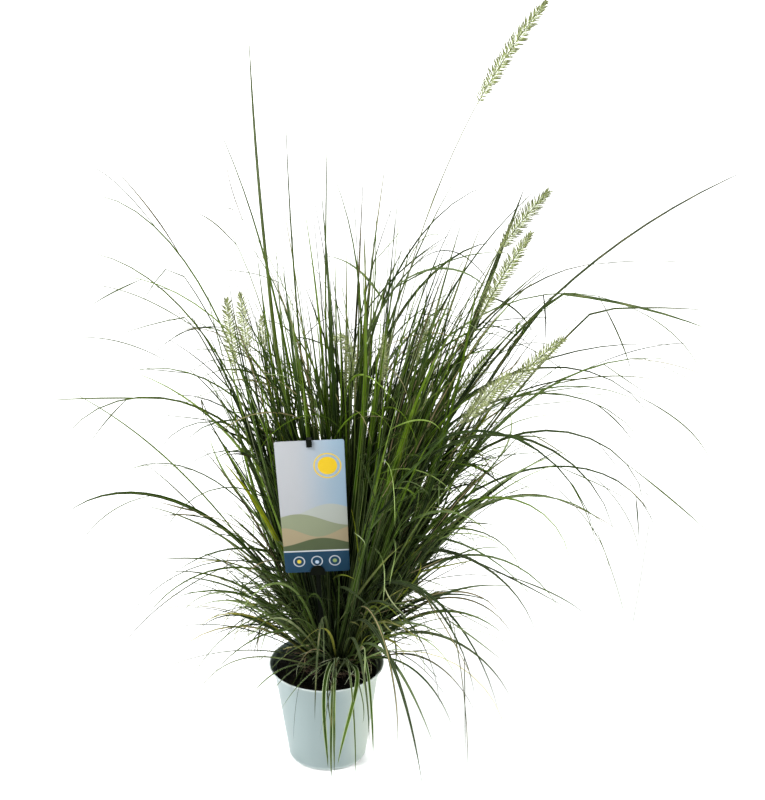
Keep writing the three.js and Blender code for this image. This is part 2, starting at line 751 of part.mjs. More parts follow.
// A flat stake behind the card, with a point in the soil, a hook over the card's top edge and a
// round clip that its bottom edge stands in
function makeStake() {
  const half = STAKE_WIDTH / 2;
  const foot = STAKE_FOOT - CARD_BOTTOM;
  const outline = new THREE.Shape();
  outline.moveTo(0, foot);
  outline.lineTo(half, foot + STAKE_POINT);
  outline.lineTo(half, CARD_HEIGHT + 2);
  outline.lineTo(-half, CARD_HEIGHT + 2);
  outline.lineTo(-half, foot + STAKE_POINT);
  const bar = new THREE.ExtrudeGeometry(outline, { depth: STAKE_DEPTH, bevelEnabled: false });
  bar.rotateX(Math.PI / 2);
  bar.translate(0, STAKE_DEPTH + GAP, 0);
  const front = -CARD_THICKNESS - GAP;
  const hookTop = block(
    -HOOK_WIDTH / 2, front - 1.5, CARD_HEIGHT + GAP, HOOK_WIDTH / 2, GAP + 1, CARD_HEIGHT + 2,
  );
  const hookLip = block(
    -HOOK_WIDTH / 2, front - 1.5, CARD_HEIGHT - HOOK_LENGTH, HOOK_WIDTH / 2, front, CARD_HEIGHT + 2,
  );
  const shelf = block(-CLIP_RADIUS, front - CLIP_THICKNESS, -3, CLIP_RADIUS, GAP + 1, -GAP);
  const clip = new THREE.CylinderGeometry(CLIP_RADIUS, CLIP_RADIUS, CLIP_THICKNESS, 20);
  clip.translate(0, front - CLIP_THICKNESS / 2, 0);
  const below = block(-20, -10, -20, 20, 10, -3);
  const solids = [bar, hookTop, hookLip, shelf].map((geometry) => toSolid(placeCard(geometry)));
  solids.push(toSolid(placeCard(clip)).subtract(toSolid(placeCard(below))));
  return namedMesh('card_stake', toGeometry(wasm.Manifold.union(solids)), 'stake');
}

// The slot that the stake stands in
function stakeHole() {
  const half = STAKE_WIDTH / 2 + GAP;
  const foot = STAKE_FOOT - CARD_BOTTOM - 3;
  const slot = block(-half, 0, foot, half, STAKE_DEPTH + 2 * GAP, -CARD_BOTTOM + POT_HEIGHT);
  return toSolid(placeCard(slot));
}

const places = rootPlaces(LEAF_COUNT);
const stems = FLOWER_STEMS.map((row) => takeRoot(stemOf(row), places));
const stretches = headStretches(stems);
const grass = new THREE.Group();
grass.add(makePot(), makeSoil(), makeClump(stems, places, stretches));
stems.forEach((stem, index) => grass.add(makeHead(stem, index)));
grass.add(makeCard(), makeStake());

export default grass;
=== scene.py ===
import math
from math import cos, pi, radians, sin, tan

import bmesh
import bpy
import numpy as np
from mathutils import Matrix, Vector


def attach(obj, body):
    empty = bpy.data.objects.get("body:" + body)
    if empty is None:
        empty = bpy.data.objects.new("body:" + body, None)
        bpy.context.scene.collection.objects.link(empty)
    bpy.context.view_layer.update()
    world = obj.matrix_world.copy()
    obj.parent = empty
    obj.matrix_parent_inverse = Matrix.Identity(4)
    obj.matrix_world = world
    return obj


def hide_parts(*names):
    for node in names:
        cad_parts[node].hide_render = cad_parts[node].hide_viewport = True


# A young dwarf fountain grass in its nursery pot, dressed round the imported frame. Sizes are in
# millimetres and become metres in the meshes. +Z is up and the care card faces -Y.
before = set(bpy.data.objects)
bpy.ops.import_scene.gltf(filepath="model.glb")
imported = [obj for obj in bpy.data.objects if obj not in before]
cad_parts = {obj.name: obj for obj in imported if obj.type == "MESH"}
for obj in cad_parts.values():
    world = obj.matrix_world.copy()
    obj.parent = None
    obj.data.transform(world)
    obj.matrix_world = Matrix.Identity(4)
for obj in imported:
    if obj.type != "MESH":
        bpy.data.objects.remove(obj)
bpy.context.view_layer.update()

MM = 0.001

# Pot and peat
POT_HEIGHT = 117
RIM_RADIUS = 65
BASE_RADIUS = 43.5
FLARE_START_HEIGHT = 96
FLARE_START_RADIUS = 57
POT_WALL = 2
BASE_THICKNESS = 3
BASE_CORNER = 3
DRAIN_HOLES = 6
DRAIN_RADIUS = 4
DRAIN_CIRCLE = 30
POT_SIDES = 128
POT_WALL_HEIGHTS = [20, 40, 60, 80, 92, 96, 99, 102, 105, 108, 111, 113.5]
SOIL_LEVEL = 107
PEAT_RELIEF = 1.6
PEAT_RINGS = 26
CRUMB_COUNT = 700
CRUMB_REACH = 54
ROOT_COUNT = 110
ROOT_STEPS = 14
GAP = 0.3

# Crown that the leaves grow from
CROWN_X = 14
CROWN_Y = 18
CROWN_RADIUS = 30.5
CROWN_FLOOR = 94
CROWN_EDGE_HEIGHT = 111.5
CROWN_TOP_HEIGHT = 115
CROWN_RINGS = 16
ROOT_DEPTH = 3.5
ROOT_SPREAD = 29
ROOT_EDGE_LEAN = 40
SUNFLOWER_TURN = 137.508

# Care card and its stake
CARD_WIDTH_TOP = 74
CARD_WIDTH_BOTTOM = 69.5
CARD_HEIGHT = 157
CARD_THICKNESS = 1
CARD_CORNER = 2.5
CARD_BOTTOM = 249
CARD_X = -7
CARD_Y = -35
CARD_LEAN = 2
CARD_TILT = 2.6
STAKE_WIDTH = 5
STAKE_DEPTH = 3
STAKE_FOOT = 55
STAKE_POINT = 22
HOOK_WIDTH = 6
HOOK_LENGTH = 7
CLIP_RADIUS = 8
CLIP_THICKNESS = 1.6
# How steeply the card is looked at, in degrees, which tells what would hide its face
VIEW_DOWN = 25

# Flower heads. The first plumes' looks are the spacing of their spikelets and how ripe they are.
# The stalk and the bristles are parts of a spikelet's length.
BRISTLES = 7
BRISTLE_RADIUS = 0.013
SPIKELET_STALK = 0.014
SPIKELETS_BELOW = 12
HEAD_STRETCHES = 4
PLUME_LOOKS = [(0.6, 0.24), (0.62, 0.12), (0.7, 0.3), (0.75, 0.42), (0.7, 0.6)]

# Leaves
LINE_NAMES = ["direction", "lean", "length", "droop", "late"]
LEAF_STATIONS = 24
LEAF_COUNT = 238
LEAF_SEED = 2024
CLUMP_LEAN = 7
CLUMP_SWAY = tan(radians(CLUMP_LEAN))
OUTLINE_TWIST = 80
EDGE_RING = 0.5
FACING_SPREAD = 60
SWING_SPREAD = 50
TWIST_SPREAD = 240
LATE = (1.5, 3.1)
LEAF_CLEARANCE = 1.5
FLOOR_CLEARANCE = 6
RIM_CLEARANCE = 4
RIM_REACH = 12
CHECKS_PER_STATION = 5
BLADE_THICKNESS = 0.5
BLADE_RINGS = 24
SHORT_BLADE_RINGS = 12
LEAF_FULLNESS = 2.6
OUTER_FULLNESS = 3.4
CREASED_FULLNESS = 12
EVEN_FULLNESS = 9
FINE_TIP = 0.85
INNER_SHADE = 0.7
SHADE_RADIUS = 38
SHADE_WIDENING = 0.26
SHADE_TOP = 300
SHADE_FADE = 50
CREASE_LIFT = 0.22
# How much painted light brightens a leaf towards its tip, with painted shade towards its foot
PAINTED_TIP_LIGHT = 0.08
LEFT_DROOP = 0.45
# How many leaves of other kinds are lime green or yellowed
LIME_FILLING = 20
LIME_SIDES = 60
LIME_SMALL_SIDES = 150
YELLOWED_LOW = 12

# How deep the finest relief of a surface is, in metres
GRAIN_DEPTH = 0.0005

# Kinds of leaf between the outline ones, with the least and most of each size. The share is out
# of those at the crown's edge, because in its middle all leaves are tall. Tall leaves lean more
# and are shorter towards the edge.
TALL_LEAVES = {
    "share": 0.58,
    "edge_lean": 21,
    "lean_spread": 4,
    "shorter_at_edge": 0.27,
    "length": (330, 600),
    "droop": (16, 61),
    "width": (2.4, 5.2),
}
ARCHING_LEAVES = {
    "share": 0.08,
    "lean": (6, 26),
    "length": (270, 510),
    "droop": (10, 150),
    "width": (2.2, 3.8),
}
SHORT_LEAVES = {
    "lean": (15, 63),
    "length": (95, 275),
    "droop": (70, 120),
    "width": (1.8, 3.6),
}

# Sizes of the scene's own leaves. Each size is a least value and the spread that is drawn above it,
# with a power of the draw where most leaves are to lie near the least. Degrees and millimetres.
SWINGS = (-SWING_SPREAD / 2, SWING_SPREAD)
TWISTS = (-TWIST_SPREAD / 2, TWIST_SPREAD)
BROAD_LEAVES = {
    "lean": (4, 12),
    "length": (320, 130),
    "droop": (95, 75),
    "late": (2.4, 1.6),
    "width": (5.2, 2.8),
}
HIGH_LEAVES = {
    "lean": (1, 12),
    "length": (390, 190),
    "droop": (4, 26),
    "late": (1.5, 2),
    "width": (2.4, 4.0),
}
# The droop of an upright leaf is the part of its lean that it takes back
UPRIGHT_LEAVES = {
    "lean": (12, 13),
    "length": (250, 260),
    "droop": (0.6, 0.5),
    "late": (0.7, 0.5),
    "width": (2.2, 4.6, 1.5),
}
FOOT_LEAVES = {"lean": (34, 22), "length": (80, 110), "droop": (-15, 85), "width": (1.3, 2.4)}
LOW_LEAVES = {"lean": (18, 46), "length": (70, 170), "droop": (20, 110), "width": (1.3, 2.1)}
SHEATHS = {"lean": (5, 60, 1.5), "length": (12, 30, 2), "droop": (-20, 100), "width": (2.0, 2.6)}
CULMS = {
    "lean": (3, 20),
    "length": (150, 250),
    "droop": (0, 12),
    "twist": (0, 20),
    "width": (1.1, 1.0),
}
LYING_LEAVES = {
    "lean": (15, 55),
    "length": (35, 55),
    "droop": (50, 90),
    "late": (0.8, 1),
    "swing": (-1.5 * SWING_SPREAD, 3 * SWING_SPREAD),
    "twist": TWISTS,
    "width": (0.9, 0.9, 2),
}

# Leaves that part from others. They start on a stretch of their host, given by parts of its
# length, turn to its sides, and add their lean to its own there. Those that reach outwards turn
# from the crown's middle instead.
SIDE_LEAVES = {
    "stretch": (0.3, 0.62),
    "turn": 190,
    "sizes": {
        "lean": (4, 40),
        "length": (55, 150),
        "droop": (-10, 130, 1.4),
        "late": (0.8, 1.6),
        "swing": (-SWING_SPREAD, 2 * SWING_SPREAD),
        "twist": TWISTS,
        "width": (1.2, 2.3, 1.3),
    },
}
REACHING_LEAVES = {
    "stretch": (0.42, 0.45),
    "turn": 120,
    "outwards": True,
    "sizes": {"lean": (6, 34), "length": (140, 200), "droop": (10, 100, 1.3), "width": (1.4, 1.8)},
}
SMALL_SIDE_LEAVES = {
    "stretch": (0.12, 0.5),
    "turn": 150,
    "sizes": {"lean": (-5, 70), "length": (28, 62), "droop": (-20, 90), "width": (1.0, 1.7, 1.5)},
}
SPRAYS = {
    "stretch": (0.5, 0.42),
    "turn": 70,
    "sizes": {
        "lean": (-21, 60),
        "length": (50, 110),
        "droop": (0, 45),
        "swing": SWINGS,
        "width": (1.0, 1.3),
    },
}

# How far from the clump's leaning middle line a side leaf may end, by height over the crown
CLUMP_ROOM = [(-40, 122), (0, 132), (300, 252), (370, 252), (650, 0)]
CLUMP_CORE = 52
THIN_LEAF = 1.6
ROOM_OF_WIDER = 0.8
LOWEST_TIP = 75
# Room that the frame's own leaves take up, and the lowest start of a spray
FRAME_LOW = [-295, -290, 12]
FRAME_HIGH = [435, 290, 840]
LOWEST_SPRAY = 240
# A small side leaf starts below this height and beside the crown, and keeps off the peat's front
SMALL_SIDE_TOP = 255
CROWN_FRONT_HALF = 20
CROWN_FRONT_WIDENING = 0.15
PEAT_FRONT_Y = 30
PEAT_FRONT_TOP = 150
PEAT_FRONT_SLOPE = 0.35

# Leaves that draw the clump's outline. Each row: direction round the crown, lean from upright at
# the root, length, droop from root to tip, how late the droop gathers, and width, then for a
# creased leaf where it creases (a part of its length) and by how much. Degrees and millimetres.
OUTLINE_LEAVES = [
    # Tall and upright
    [182, 11, 725, -10, 1.0, 5.5],
    [164, 6, 660, -6, 2.0, 3.0],
    [198, 7, 675, 19, 3.4, 3.0],
    [134, 0, 600, 77, 2.3, 3.0],
    [150, 4, 635, -7, 1.0, 4.0],
    [175, -6, 595, 33, 4.0, 3.2],
    [77, 14, 600, 27, 1.6, 3.4],
    [-39, 0, 580, 26, 2.0, 3.6],
    [31, 0, 610, 40, 1.4, 3.2],
    [34, 2, 635, 98, 3.4, 3.4],
    [-27, 0, 550, 54, 2.8, 4.6],
    [43, 13, 510, 18, 1.8, 4.0],
    [39, 0, 570, 98, 2.6, 3.4],
    [30, 22, 570, 2, 1.5, 6.5],
    [40, 20, 605, 19, 1.7, 3.0],
    [7, 7, 635, 51, 2.0, 3.2],
    # Reaching right
    [-1, 13, 740, 53, 1.3, 4.4],
    [25, 10, 615, 96, 2.2, 3.6],
    [-6, 10, 570, 48, 2.0, 3.0],
    [-4, 24, 620, 31, 2.0, 5.6, 0.8, 40],
    [1, 21, 660, 33, 2.2, 5.0, 0.74, 59],
    [3, 0, 670, 136, 2.0, 2.6],
    [-10, 2, 625, 98, 1.3, 3.0],
    [-11, 23, 575, 84, 3.0, 3.6],
    [9, 9, 490, 73, 1.2, 3.0],
    [-13, 11, 600, 151, 2.7, 3.6],
    [-1, 7, 575, 151, 2.1, 3.4],
    [-8, 11, 560, 122, 2.2, 3.0],
    [-35, 11, 590, 167, 2.4, 4.4],
    [-44, 13, 620, 165, 2.5, 3.6],
    [0, 19, 420, 135, 1.9, 3.4],
    [-18, 19, 560, 176, 3.0, 3.6],
    [14, 19, 535, 155, 1.6, 3.0],
    [11, 27, 335, 97, 2.4, 6.0],
    [-28, 4, 385, 160, 1.4, 5.0],
    [-38, 0, 410, 138, 1.2, 3.4],
    [-33, 33, 245, 119, 1.3, 3.8],
    # Falling towards the front right
    [-55, 7, 400, 150, 1.2, 3.8],
    [-59, 16, 380, 148, 1.6, 3.8],
    [-73, 34, 355, 78, 1.0, 4.2],
    [-74, 17, 400, 133, 1.0, 5.0],
    [-75, 21, 360, 172, 1.7, 3.8],
    [-80, 32, 280, 168, 1.9, 3.6],
    # Hanging over the front of the pot
    [-92, 34, 238, 165, 1.3, 5.0],
    [-90, 35, 233, 165, 1.4, 4.6],
    [-84, 36, 236, 165, 1.4, 4.8],
    # Falling to the left
    [-111, 32, 345, 129, 2.2, 5.0],
    [-134, 21, 215, 104, 1.0, 4.6],
    [-137, 14, 275, 138, 1.1, 3.0],
    [-130, 11, 380, 142, 1.4, 3.4],
    [-151, 13, 320, 133, 1.5, 3.8],
    [204, -1, 295, 127, 1.3, 3.8],
    [181, 23, 295, 56, 1.4, 3.6],
    [181, 27, 390, 107, 2.4, 6.2],
    # Arching out on the left
    [150, 18, 640, 88, 4.5, 4.4],
    [153, 16, 585, 82, 3.0, 4.0],
    [125, 18, 630, 94, 4.3, 4.2],
    [156, 17, 560, 52, 4.5, 4.0, 0.86, 90],
    [172, 16, 520, 26, 2.8, 3.4, 0.83, 72],
    [176, 7, 475, 112, 2.8, 3.2],
    [172, 30, 445, 38, 2.0, 2.8],
    [-170, 8, 535, 152, 2.6, 3.4],
    [159, 21, 365, 107, 2.2, 3.0],
    [157, 4, 575, 97, 2.1, 3.2],
    [152, -1, 507, 130, 2.7, 3.2],
    # Low and short at the sides
    [170, 38, 190, 60, 1.6, 3.6],
    [195, 42, 170, 55, 1.5, 3.4],
    [150, 44, 200, 50, 1.6, 3.4],
    [182, 32, 215, 65, 1.7, 3.8],
    [205, 28, 230, 75, 1.7, 3.6],
    [-20, 34, 240, 60, 1.8, 3.6],
    [10, 38, 220, 50, 1.6, 3.4],
    [-35, 30, 250, 70, 1.8, 3.4],
]

# Flower stems with their heads. Each row: direction, lean, length with the head, droop, how late
# the droop gathers, the head's own length and its radius over the bristles.
FLOWER_STEMS = [
    [13, 6.5, 775, 35, 2.5, 118, 9],
    [20, 14, 583, 35, 2.5, 80, 9],
    [0, 16, 541, 17, 2.5, 100, 8.5],
    [-15, 21, 473, 28, 2.5, 90, 8.5],
    [-25, 18.5, 423, 25, 2.5, 73, 9],
    [28, 20, 387, 27, 2.5, 68, 8],
    [198, 17.5, 458, -15, 2.5, 75, 7.5],
    [165, 16, 439, -12, 2.5, 65, 7.5],
    [180, -3, 404, 150, 30, 78, 8],
    [-30, 10.5, 406, -11, 2.5, 48, 5.5],
    [5, 10, 415, 9, 2.5, 55, 6],
    [40, 16, 367, 34, 2.5, 44, 6],
    [142, 17.5, 401, -15, 2.5, 38, 5.5],
]

# More thin leaves that hang over the front of the pot. Each row: root from the crown's middle to
# the right and to the back, direction, lean, length, droop, late, swing and width.
HANGING_LEAVES = [
    [7, -16, -109, 37, 198, 135, 1.0, 39, 4.4],
    [10, -12, -78, 64, 227, 93, 2.3, -38, 4.6],
    [21, -15, -82, 30, 207, 135, 1.1, -4, 3.0],
    [4, -23, -79, 26, 134, 178, 1.2, 21, 1.6],
    [22, -19, -123, 33, 145, 112, 1.0, -24, 1.5],
    [5, -23, -108, 43, 148, 105, 1.1, 36, 1.8],
    [-20, -18, -130, 56, 118, 62, 1.5, 0, 2.4],
    [-16, -20, -120, 48, 112, 80, 1.4, -10, 1.4],
]

# How much finer some of the frame's leaves are than its solids: direction, length, part of the
# width, and tone.
FINER_LEAVES = [
    [182, 725, 0.62, 0.45],
    [-1, 740, 0.58, 0.3],
    [-4, 620, 0.42, 0.25],
    [1, 660, 0.7, 0.25],
    [-92, 238, 0.7, 0.2],
    [-90, 233, 0.65, 0.15],
    [-84, 236, 0.4, 0.2],
    [-92, 345, 0.6, 0.2],
    [30, 570, 1.1, 0.3],
    [156, 560, 0.45, 0.05],
    [172, 520, 0.5, 0.05],
]
# Lengths of the ones among them that stay broad almost to their tips
BLUNT_LEAVES = [740, 620, 660]
BLUNT_FULLNESS = 16


def make_draw(seed):
    """A repeatable draw between 0 and 1, the same one that places the frame's leaves."""
    state = seed
    low_bits = 0xFFFFFFFF

    def draw():
        nonlocal state
        state = (state + 0x6D2B79F5) & low_bits
        mixed = ((state ^ (state >> 15)) * (1 | state)) & low_bits
        mixed = ((mixed + (((mixed ^ (mixed >> 7)) * (61 | mixed)) & low_bits)) & low_bits) ^ mixed
        return ((mixed ^ (mixed >> 14)) & low_bits) / 4294967296

    return draw


# Middle lines of leaves and stems


def unit(vectors):
    return vectors / np.linalg.norm(vectors, axis=-1, keepdims=True)


def dome_height(distance):
    part = distance / CROWN_RADIUS
    return CROWN_TOP_HEIGHT - (CROWN_TOP_HEIGHT - CROWN_EDGE_HEIGHT) * part * part


def root_places(count):
    """Places for the roots on the crown, in a sunflower's order from the middle outwards."""
    places = []
    for i in range(count):
        distance = ROOT_SPREAD * math.sqrt((i + 0.5) / count)
        angle = radians(SUNFLOWER_TURN * i)
        places.append((distance * cos(angle), distance * sin(angle)))
    return places


def take_root(leaf, places):
    """Gives a leaf or stem the free root place nearest to where its lean would start it."""
    spread = ROOT_SPREAD * min(1, abs(leaf["lean"]) / ROOT_EDGE_LEAN)
    x = spread * cos(radians(leaf["direction"]))
    y = spread * sin(radians(leaf["direction"]))
    nearest = min(range(len(places)), key=lambda i: math.hypot(places[i][0] - x, places[i][1] - y))
    return {**leaf, "root": places.pop(nearest)}


def middle_line(leaf):
    """Points, directions and sides along a leaf or stem, one set for each station."""
    part = np.minimum(1, (np.arange(LEAF_STATIONS + 1) + 0.5) / LEAF_STATIONS)
    angle = radians(leaf["lean"]) + radians(leaf["droop"]) * part ** leaf["late"]
    if leaf.get("crease"):
        folded = np.clip((part - leaf["crease_at"]) / 0.05 + 0.5, 0, 1)
        angle = angle + radians(leaf["crease"]) * folded
    heading = radians(leaf["direction"]) + radians(leaf.get("swing", 0)) * part**1.5
    tangents = np.stack(
        [np.sin(angle) * np.cos(heading), np.sin(angle) * np.sin(heading), np.cos(angle)], -1
    )
    tangents[:, 0] += leaf.get("sway", 0) * tangents[:, 2]
    tangents = unit(tangents)
    sides = np.stack([-np.sin(heading), np.cos(heading), np.zeros_like(heading)], -1)
    root = leaf.get("start")
    if root is None:
        x, y = leaf["root"]
        root = np.array([CROWN_X + x, CROWN_Y + y, dome_height(math.hypot(x, y)) - ROOT_DEPTH])
    steps = np.cumsum(tangents[:-1] * (leaf["length"] / LEAF_STATIONS), axis=0)
    points = root + np.vstack([np.zeros(3), steps])
    return points, tangents, sides


def at_part(values, part):
    """Values along a middle line at parts of its length, between its stations."""
    stations = np.linspace(0, 1, len(values))
    columns = [np.interp(part, stations, values[:, i]) for i in range(values.shape[1])]
    return np.stack(columns, -1)


def spot_on(line, part):
    """The place and the direction at one part of a middle line's length."""
    part = np.array([part])
    return at_part(line[0], part)[0], unit(at_part(line[1], part))[0]


def outline_leaf(row):
    """A leaf that leans to the left or right is twisted, so that its flat side shows in front."""
    leaf = dict(zip([*LINE_NAMES, "width", "crease_at", "crease"], row))
    leaf["twist"] = OUTLINE_TWIST * abs(cos(radians(leaf["direction"])))
    return leaf


def stem_of(row):
    return dict(zip([*LINE_NAMES, "head_length", "head_radius"], row))


def hanging_leaf(row):
    leaf = dict(zip([*LINE_NAMES, "swing", "width"], row[2:]))
    return {**leaf, "root": row[:2], "fullness": EVEN_FULLNESS}


def finer(leaf):
    """The frame's leaf at its real width, where its solid is broader so that it holds."""
    made = {**leaf, "fullness": CREASED_FULLNESS if leaf.get("crease") else OUTER_FULLNESS}
    for direction, length, part, tone in FINER_LEAVES:
        if leaf["length"] == length and abs(leaf["direction"] - direction) < 20:
            made["width"] = leaf["width"] * part
            made["tone"] = tone
            made["dry"] = 0.1
            made["fullness"] = BLUNT_FULLNESS if length in BLUNT_LEAVES else EVEN_FULLNESS
    return made


# Drawn leaves


def between(sizes, part):
    least, most = sizes
    return least + (most - least) * part


def centred(draw, spread):
    """A drawn value around 0."""
    return (draw() - 0.5) * spread


def draw_sizes(leaf, draw, sizes):
    for name, (least, spread, *power) in sizes.items():
        leaf[name] = least + spread * draw() ** (power[0] if power else 1)
    return leaf


def seeded_leaf(root, draw):
    """A leaf between the outline ones: most are long and upright, a few arch outwards, and those
    at the crown's edge may stay short and fall over the pot."""
    ring = math.hypot(*root) / ROOT_SPREAD
    facing = math.degrees(math.atan2(root[1], root[0]))
    kind = 0 if ring < EDGE_RING else draw()
    leaf = {"root": root}
    leaf["direction"] = facing + centred(draw, FACING_SPREAD)
    leaf["late"] = between(LATE, draw())
    leaf["swing"] = centred(draw, SWING_SPREAD)
    leaf["twist"] = centred(draw, TWIST_SPREAD)
    if kind < TALL_LEAVES["share"]:
        leaf["lean"] = TALL_LEAVES["edge_lean"] * ring**1.25
        leaf["lean"] += centred(draw, TALL_LEAVES["lean_spread"])
        shorter = 1 - TALL_LEAVES["shorter_at_edge"] * ring * ring
        leaf["length"] = between(TALL_LEAVES["length"], draw()) * shorter
        leaf["droop"] = between(TALL_LEAVES["droop"], draw() ** 2)
        leaf["width"] = between(TALL_LEAVES["width"], draw())
        leaf["sway"] = CLUMP_SWAY
        return leaf
    arching = kind < TALL_LEAVES["share"] + ARCHING_LEAVES["share"]
    sizes = ARCHING_LEAVES if arching else SHORT_LEAVES
    for name in ("lean", "length", "droop", "width"):
        leaf[name] = between(sizes[name], draw())
    leaf["sway"] = tan(radians(CLUMP_LEAN / 2)) if arching else 0
    return leaf


def crown_leaf(draw):
    """A seeded leaf from anywhere on the crown."""
    out = ROOT_SPREAD * math.sqrt(draw())
    facing = 2 * pi * draw()
    return seeded_leaf((out * cos(facing), out * sin(facing)), draw)


def sized_leaf(draw, sizes, sway):
    """A leaf from anywhere on the crown, with the sizes of its kind."""
    leaf = draw_sizes(crown_leaf(draw), draw, sizes)
    leaf["sway"] = sway
    return leaf


def less_droop_left(leaf):
    """On the left the clump's leaves stay more upright."""
    if cos(radians(leaf["direction"])) < 0:
        leaf["droop"] *= LEFT_DROOP
    return leaf


def filling_leaf(draw):
    """One of the many leaves that make the clump dense, a little inside the frame's own."""
    leaf = crown_leaf(draw)
    leaf["length"] *= 0.95
    leaf["width"] *= 1.5
    return less_droop_left(leaf)


def fine_leaf(draw):
    """A thin leaf that breaks up the clump's top and sides into single blades."""
    leaf = crown_leaf(draw)
    leaf["lean"] += centred(draw, 8)
    leaf["droop"] += 20 * draw()
    leaf["length"] *= 1.06
    leaf["width"] = 1.3 + 1.5 * draw()
    return less_droop_left(leaf)


def broad_leaf(draw):
    """One of a few broad leaves that rise to the middle of the clump and fold over."""
    return sized_leaf(draw, BROAD_LEAVES, CLUMP_SWAY)


def tall_leaf(draw):
    """A long leaf that rises straight through the clump's top."""
    return sized_leaf(draw, HIGH_LEAVES, CLUMP_SWAY)


def low_leaf(draw):
    """A short leaf that arches from the foot of the clump."""
    return sized_leaf(draw, LOW_LEAVES, 0)


def dead_sheath(draw):
    """A dry stub of an old leaf at the foot of the clump."""
    return sized_leaf(draw, SHEATHS, 0)


def upright_leaf(draw):
    """A leaf that leaves the clump's foot, most often to the left, and then rises upright."""
    leaf = crown_leaf(draw)
    to_right = draw() >= 0.8
    leaf["direction"] = (0 if to_right else 180) + centred(draw, 110)
    draw_sizes(leaf, draw, UPRIGHT_LEAVES)
    if to_right:
        leaf["lean"] += 12
    leaf["droop"] = 2 - leaf["lean"] * leaf["droop"]
    leaf["sway"] = 0
    return leaf


def foot_leaf(draw):
    """A leaf that spreads low from the clump's foot, most often to the left, and arches over."""
    leaf = crown_leaf(draw)
    leaf["direction"] = (185 if draw() < 0.7 else 5) + centred(draw, 120)
    leaf["sway"] = 0
    return draw_sizes(leaf, draw, FOOT_LEAVES)


def culm(draw):
    """A thin stiff stem that leaves part from."""
    leaf = sized_leaf(draw, CULMS, CLUMP_SWAY)
    leaf["lean"] *= math.hypot(*leaf["root"]) / ROOT_SPREAD
    return {**leaf, "swing": 0, "fullness": EVEN_FULLNESS}


def lying_leaf(draw):
    """A thin short leaf that arches from the crown's front down to the peat."""
    facing = -200 + 190 * draw()
    out = ROOT_SPREAD * (0.7 + 0.3 * draw())
    leaf = {"root": (out * cos(radians(facing)), out * sin(radians(facing)))}
    leaf["direction"] = facing + centred(draw, 90)
    return draw_sizes(leaf, draw, LYING_LEAVES)


def part_from(draw, hosts, kind):
    """The start and sizes of a leaf that parts from one of its hosts."""
    host = hosts[int(draw() * len(hosts))]
    first, stretch = kind["stretch"]
    start, ahead = spot_on(middle_line(host), first + stretch * draw())
    facing = start[:2] - [CROWN_X, CROWN_Y] if kind.get("outwards") else ahead[:2]
    direction = math.degrees(math.atan2(facing[1], facing[0])) + centred(draw, kind["turn"])
    leaf = draw_sizes({"start": start, "direction": direction}, draw, kind["sizes"])
    leaf["lean"] += math.degrees(math.acos(ahead[2]))
    return leaf


def side_leaf(draw, hosts, kind):
    """A leaf that parts from another one, as at the joints of a stem. What its own kind leaves
    open is drawn as for the plain side leaves."""
    leaf = part_from(draw, hosts, SIDE_LEAVES)
    return leaf if kind is SIDE_LEAVES else {**leaf, **part_from(draw, hosts, kind)}


# Tests of where a leaf runs


def stays_in_pot(leaf):
    x, y, z = middle_line(leaf)[0].T
    return (np.hypot(x, y) < RIM_RADIUS - POT_WALL - 4).all() and (z > SOIL_LEVEL + 1).all()


def from_clump_middle(x, y, rise):
    """Distance from the clump's leaning middle line at a height over the crown."""
    return np.hypot(x - CROWN_X - rise * CLUMP_SWAY, y - CROWN_Y)


def in_clump(leaf):
    """True where a leaf's tip stays within the clump's own spread and comes out of its middle."""
    x, y, z = middle_line(leaf)[0][-1]
    rise = z - CROWN_TOP_HEIGHT
    room = np.interp(rise, *np.array(CLUMP_ROOM).T)
    if leaf["width"] > THIN_LEAF:
        room *= ROOM_OF_WIDER
    return z > LOWEST_TIP and CLUMP_CORE < from_clump_middle(x, y, rise) < room


def hangs_low(leaf):
    """Whether a leaf's tip comes down to the height of the pot."""
    return middle_line(leaf)[0][-1][2] < POT_HEIGHT + 30


def at_sides(leaf):
    """True for a leaf at the foot of the clump that doesn't hide the peat in front of it."""
    x, y, z = middle_line(leaf)[0].T
    in_front = (y < PEAT_FRONT_Y) & (z < PEAT_FRONT_TOP - PEAT_FRONT_SLOPE * y)
    nearest = CROWN_FRONT_HALF + CROWN_FRONT_WIDENING * (z[0] - CROWN_TOP_HEIGHT)
    if z[0] >= SMALL_SIDE_TOP or abs(x[0] - CROWN_X) <= nearest:
        return False
    return not (in_front & (np.abs(x) < RIM_RADIUS)).any()


def in_sight(leaf):
    """True where a leaf starts high enough and stays within the frame's own room."""
    points = middle_line(leaf)[0]
    return points[0, 2] >= LOWEST_SPRAY and (points > FRAME_LOW).all() and (points < FRAME_HIGH).all()


def head_stretches(stems):
    """Starts, ends and radii of the stretches that the flower heads fill."""
    starts, ends, radii = [], [], []
    for stem in stems:
        first = 1 - stem["head_length"] / stem["length"]
        corners = at_part(middle_line(stem)[0], np.linspace(first, 1, HEAD_STRETCHES + 1))
        starts.extend(corners[:-1])
        ends.extend(corners[1:])
        radii.extend([stem["head_radius"]] * HEAD_STRETCHES)
    return np.array(starts), np.array(ends), np.array(radii)


def turned_about(vectors, axes, angles):
    """Vectors turned about unit axes by angles in radians."""
    angles = np.asarray(angles)[..., None]
    along = np.sum(vectors * axes, -1, keepdims=True) * axes
    turned = vectors * np.cos(angles) + np.cross(axes, vectors) * np.sin(angles)
    return turned + along * (1 - np.cos(angles))


def to_card(points):
    """Points in the card's own upright axes, from the middle of its lower edge."""
    local = points - np.array([CARD_X, CARD_Y, CARD_BOTTOM])
    local = turned_about(local, np.array([1.0, 0, 0]), radians(-CARD_LEAN))
    return turned_about(local, np.array([0, 1.0, 0]), radians(CARD_TILT))


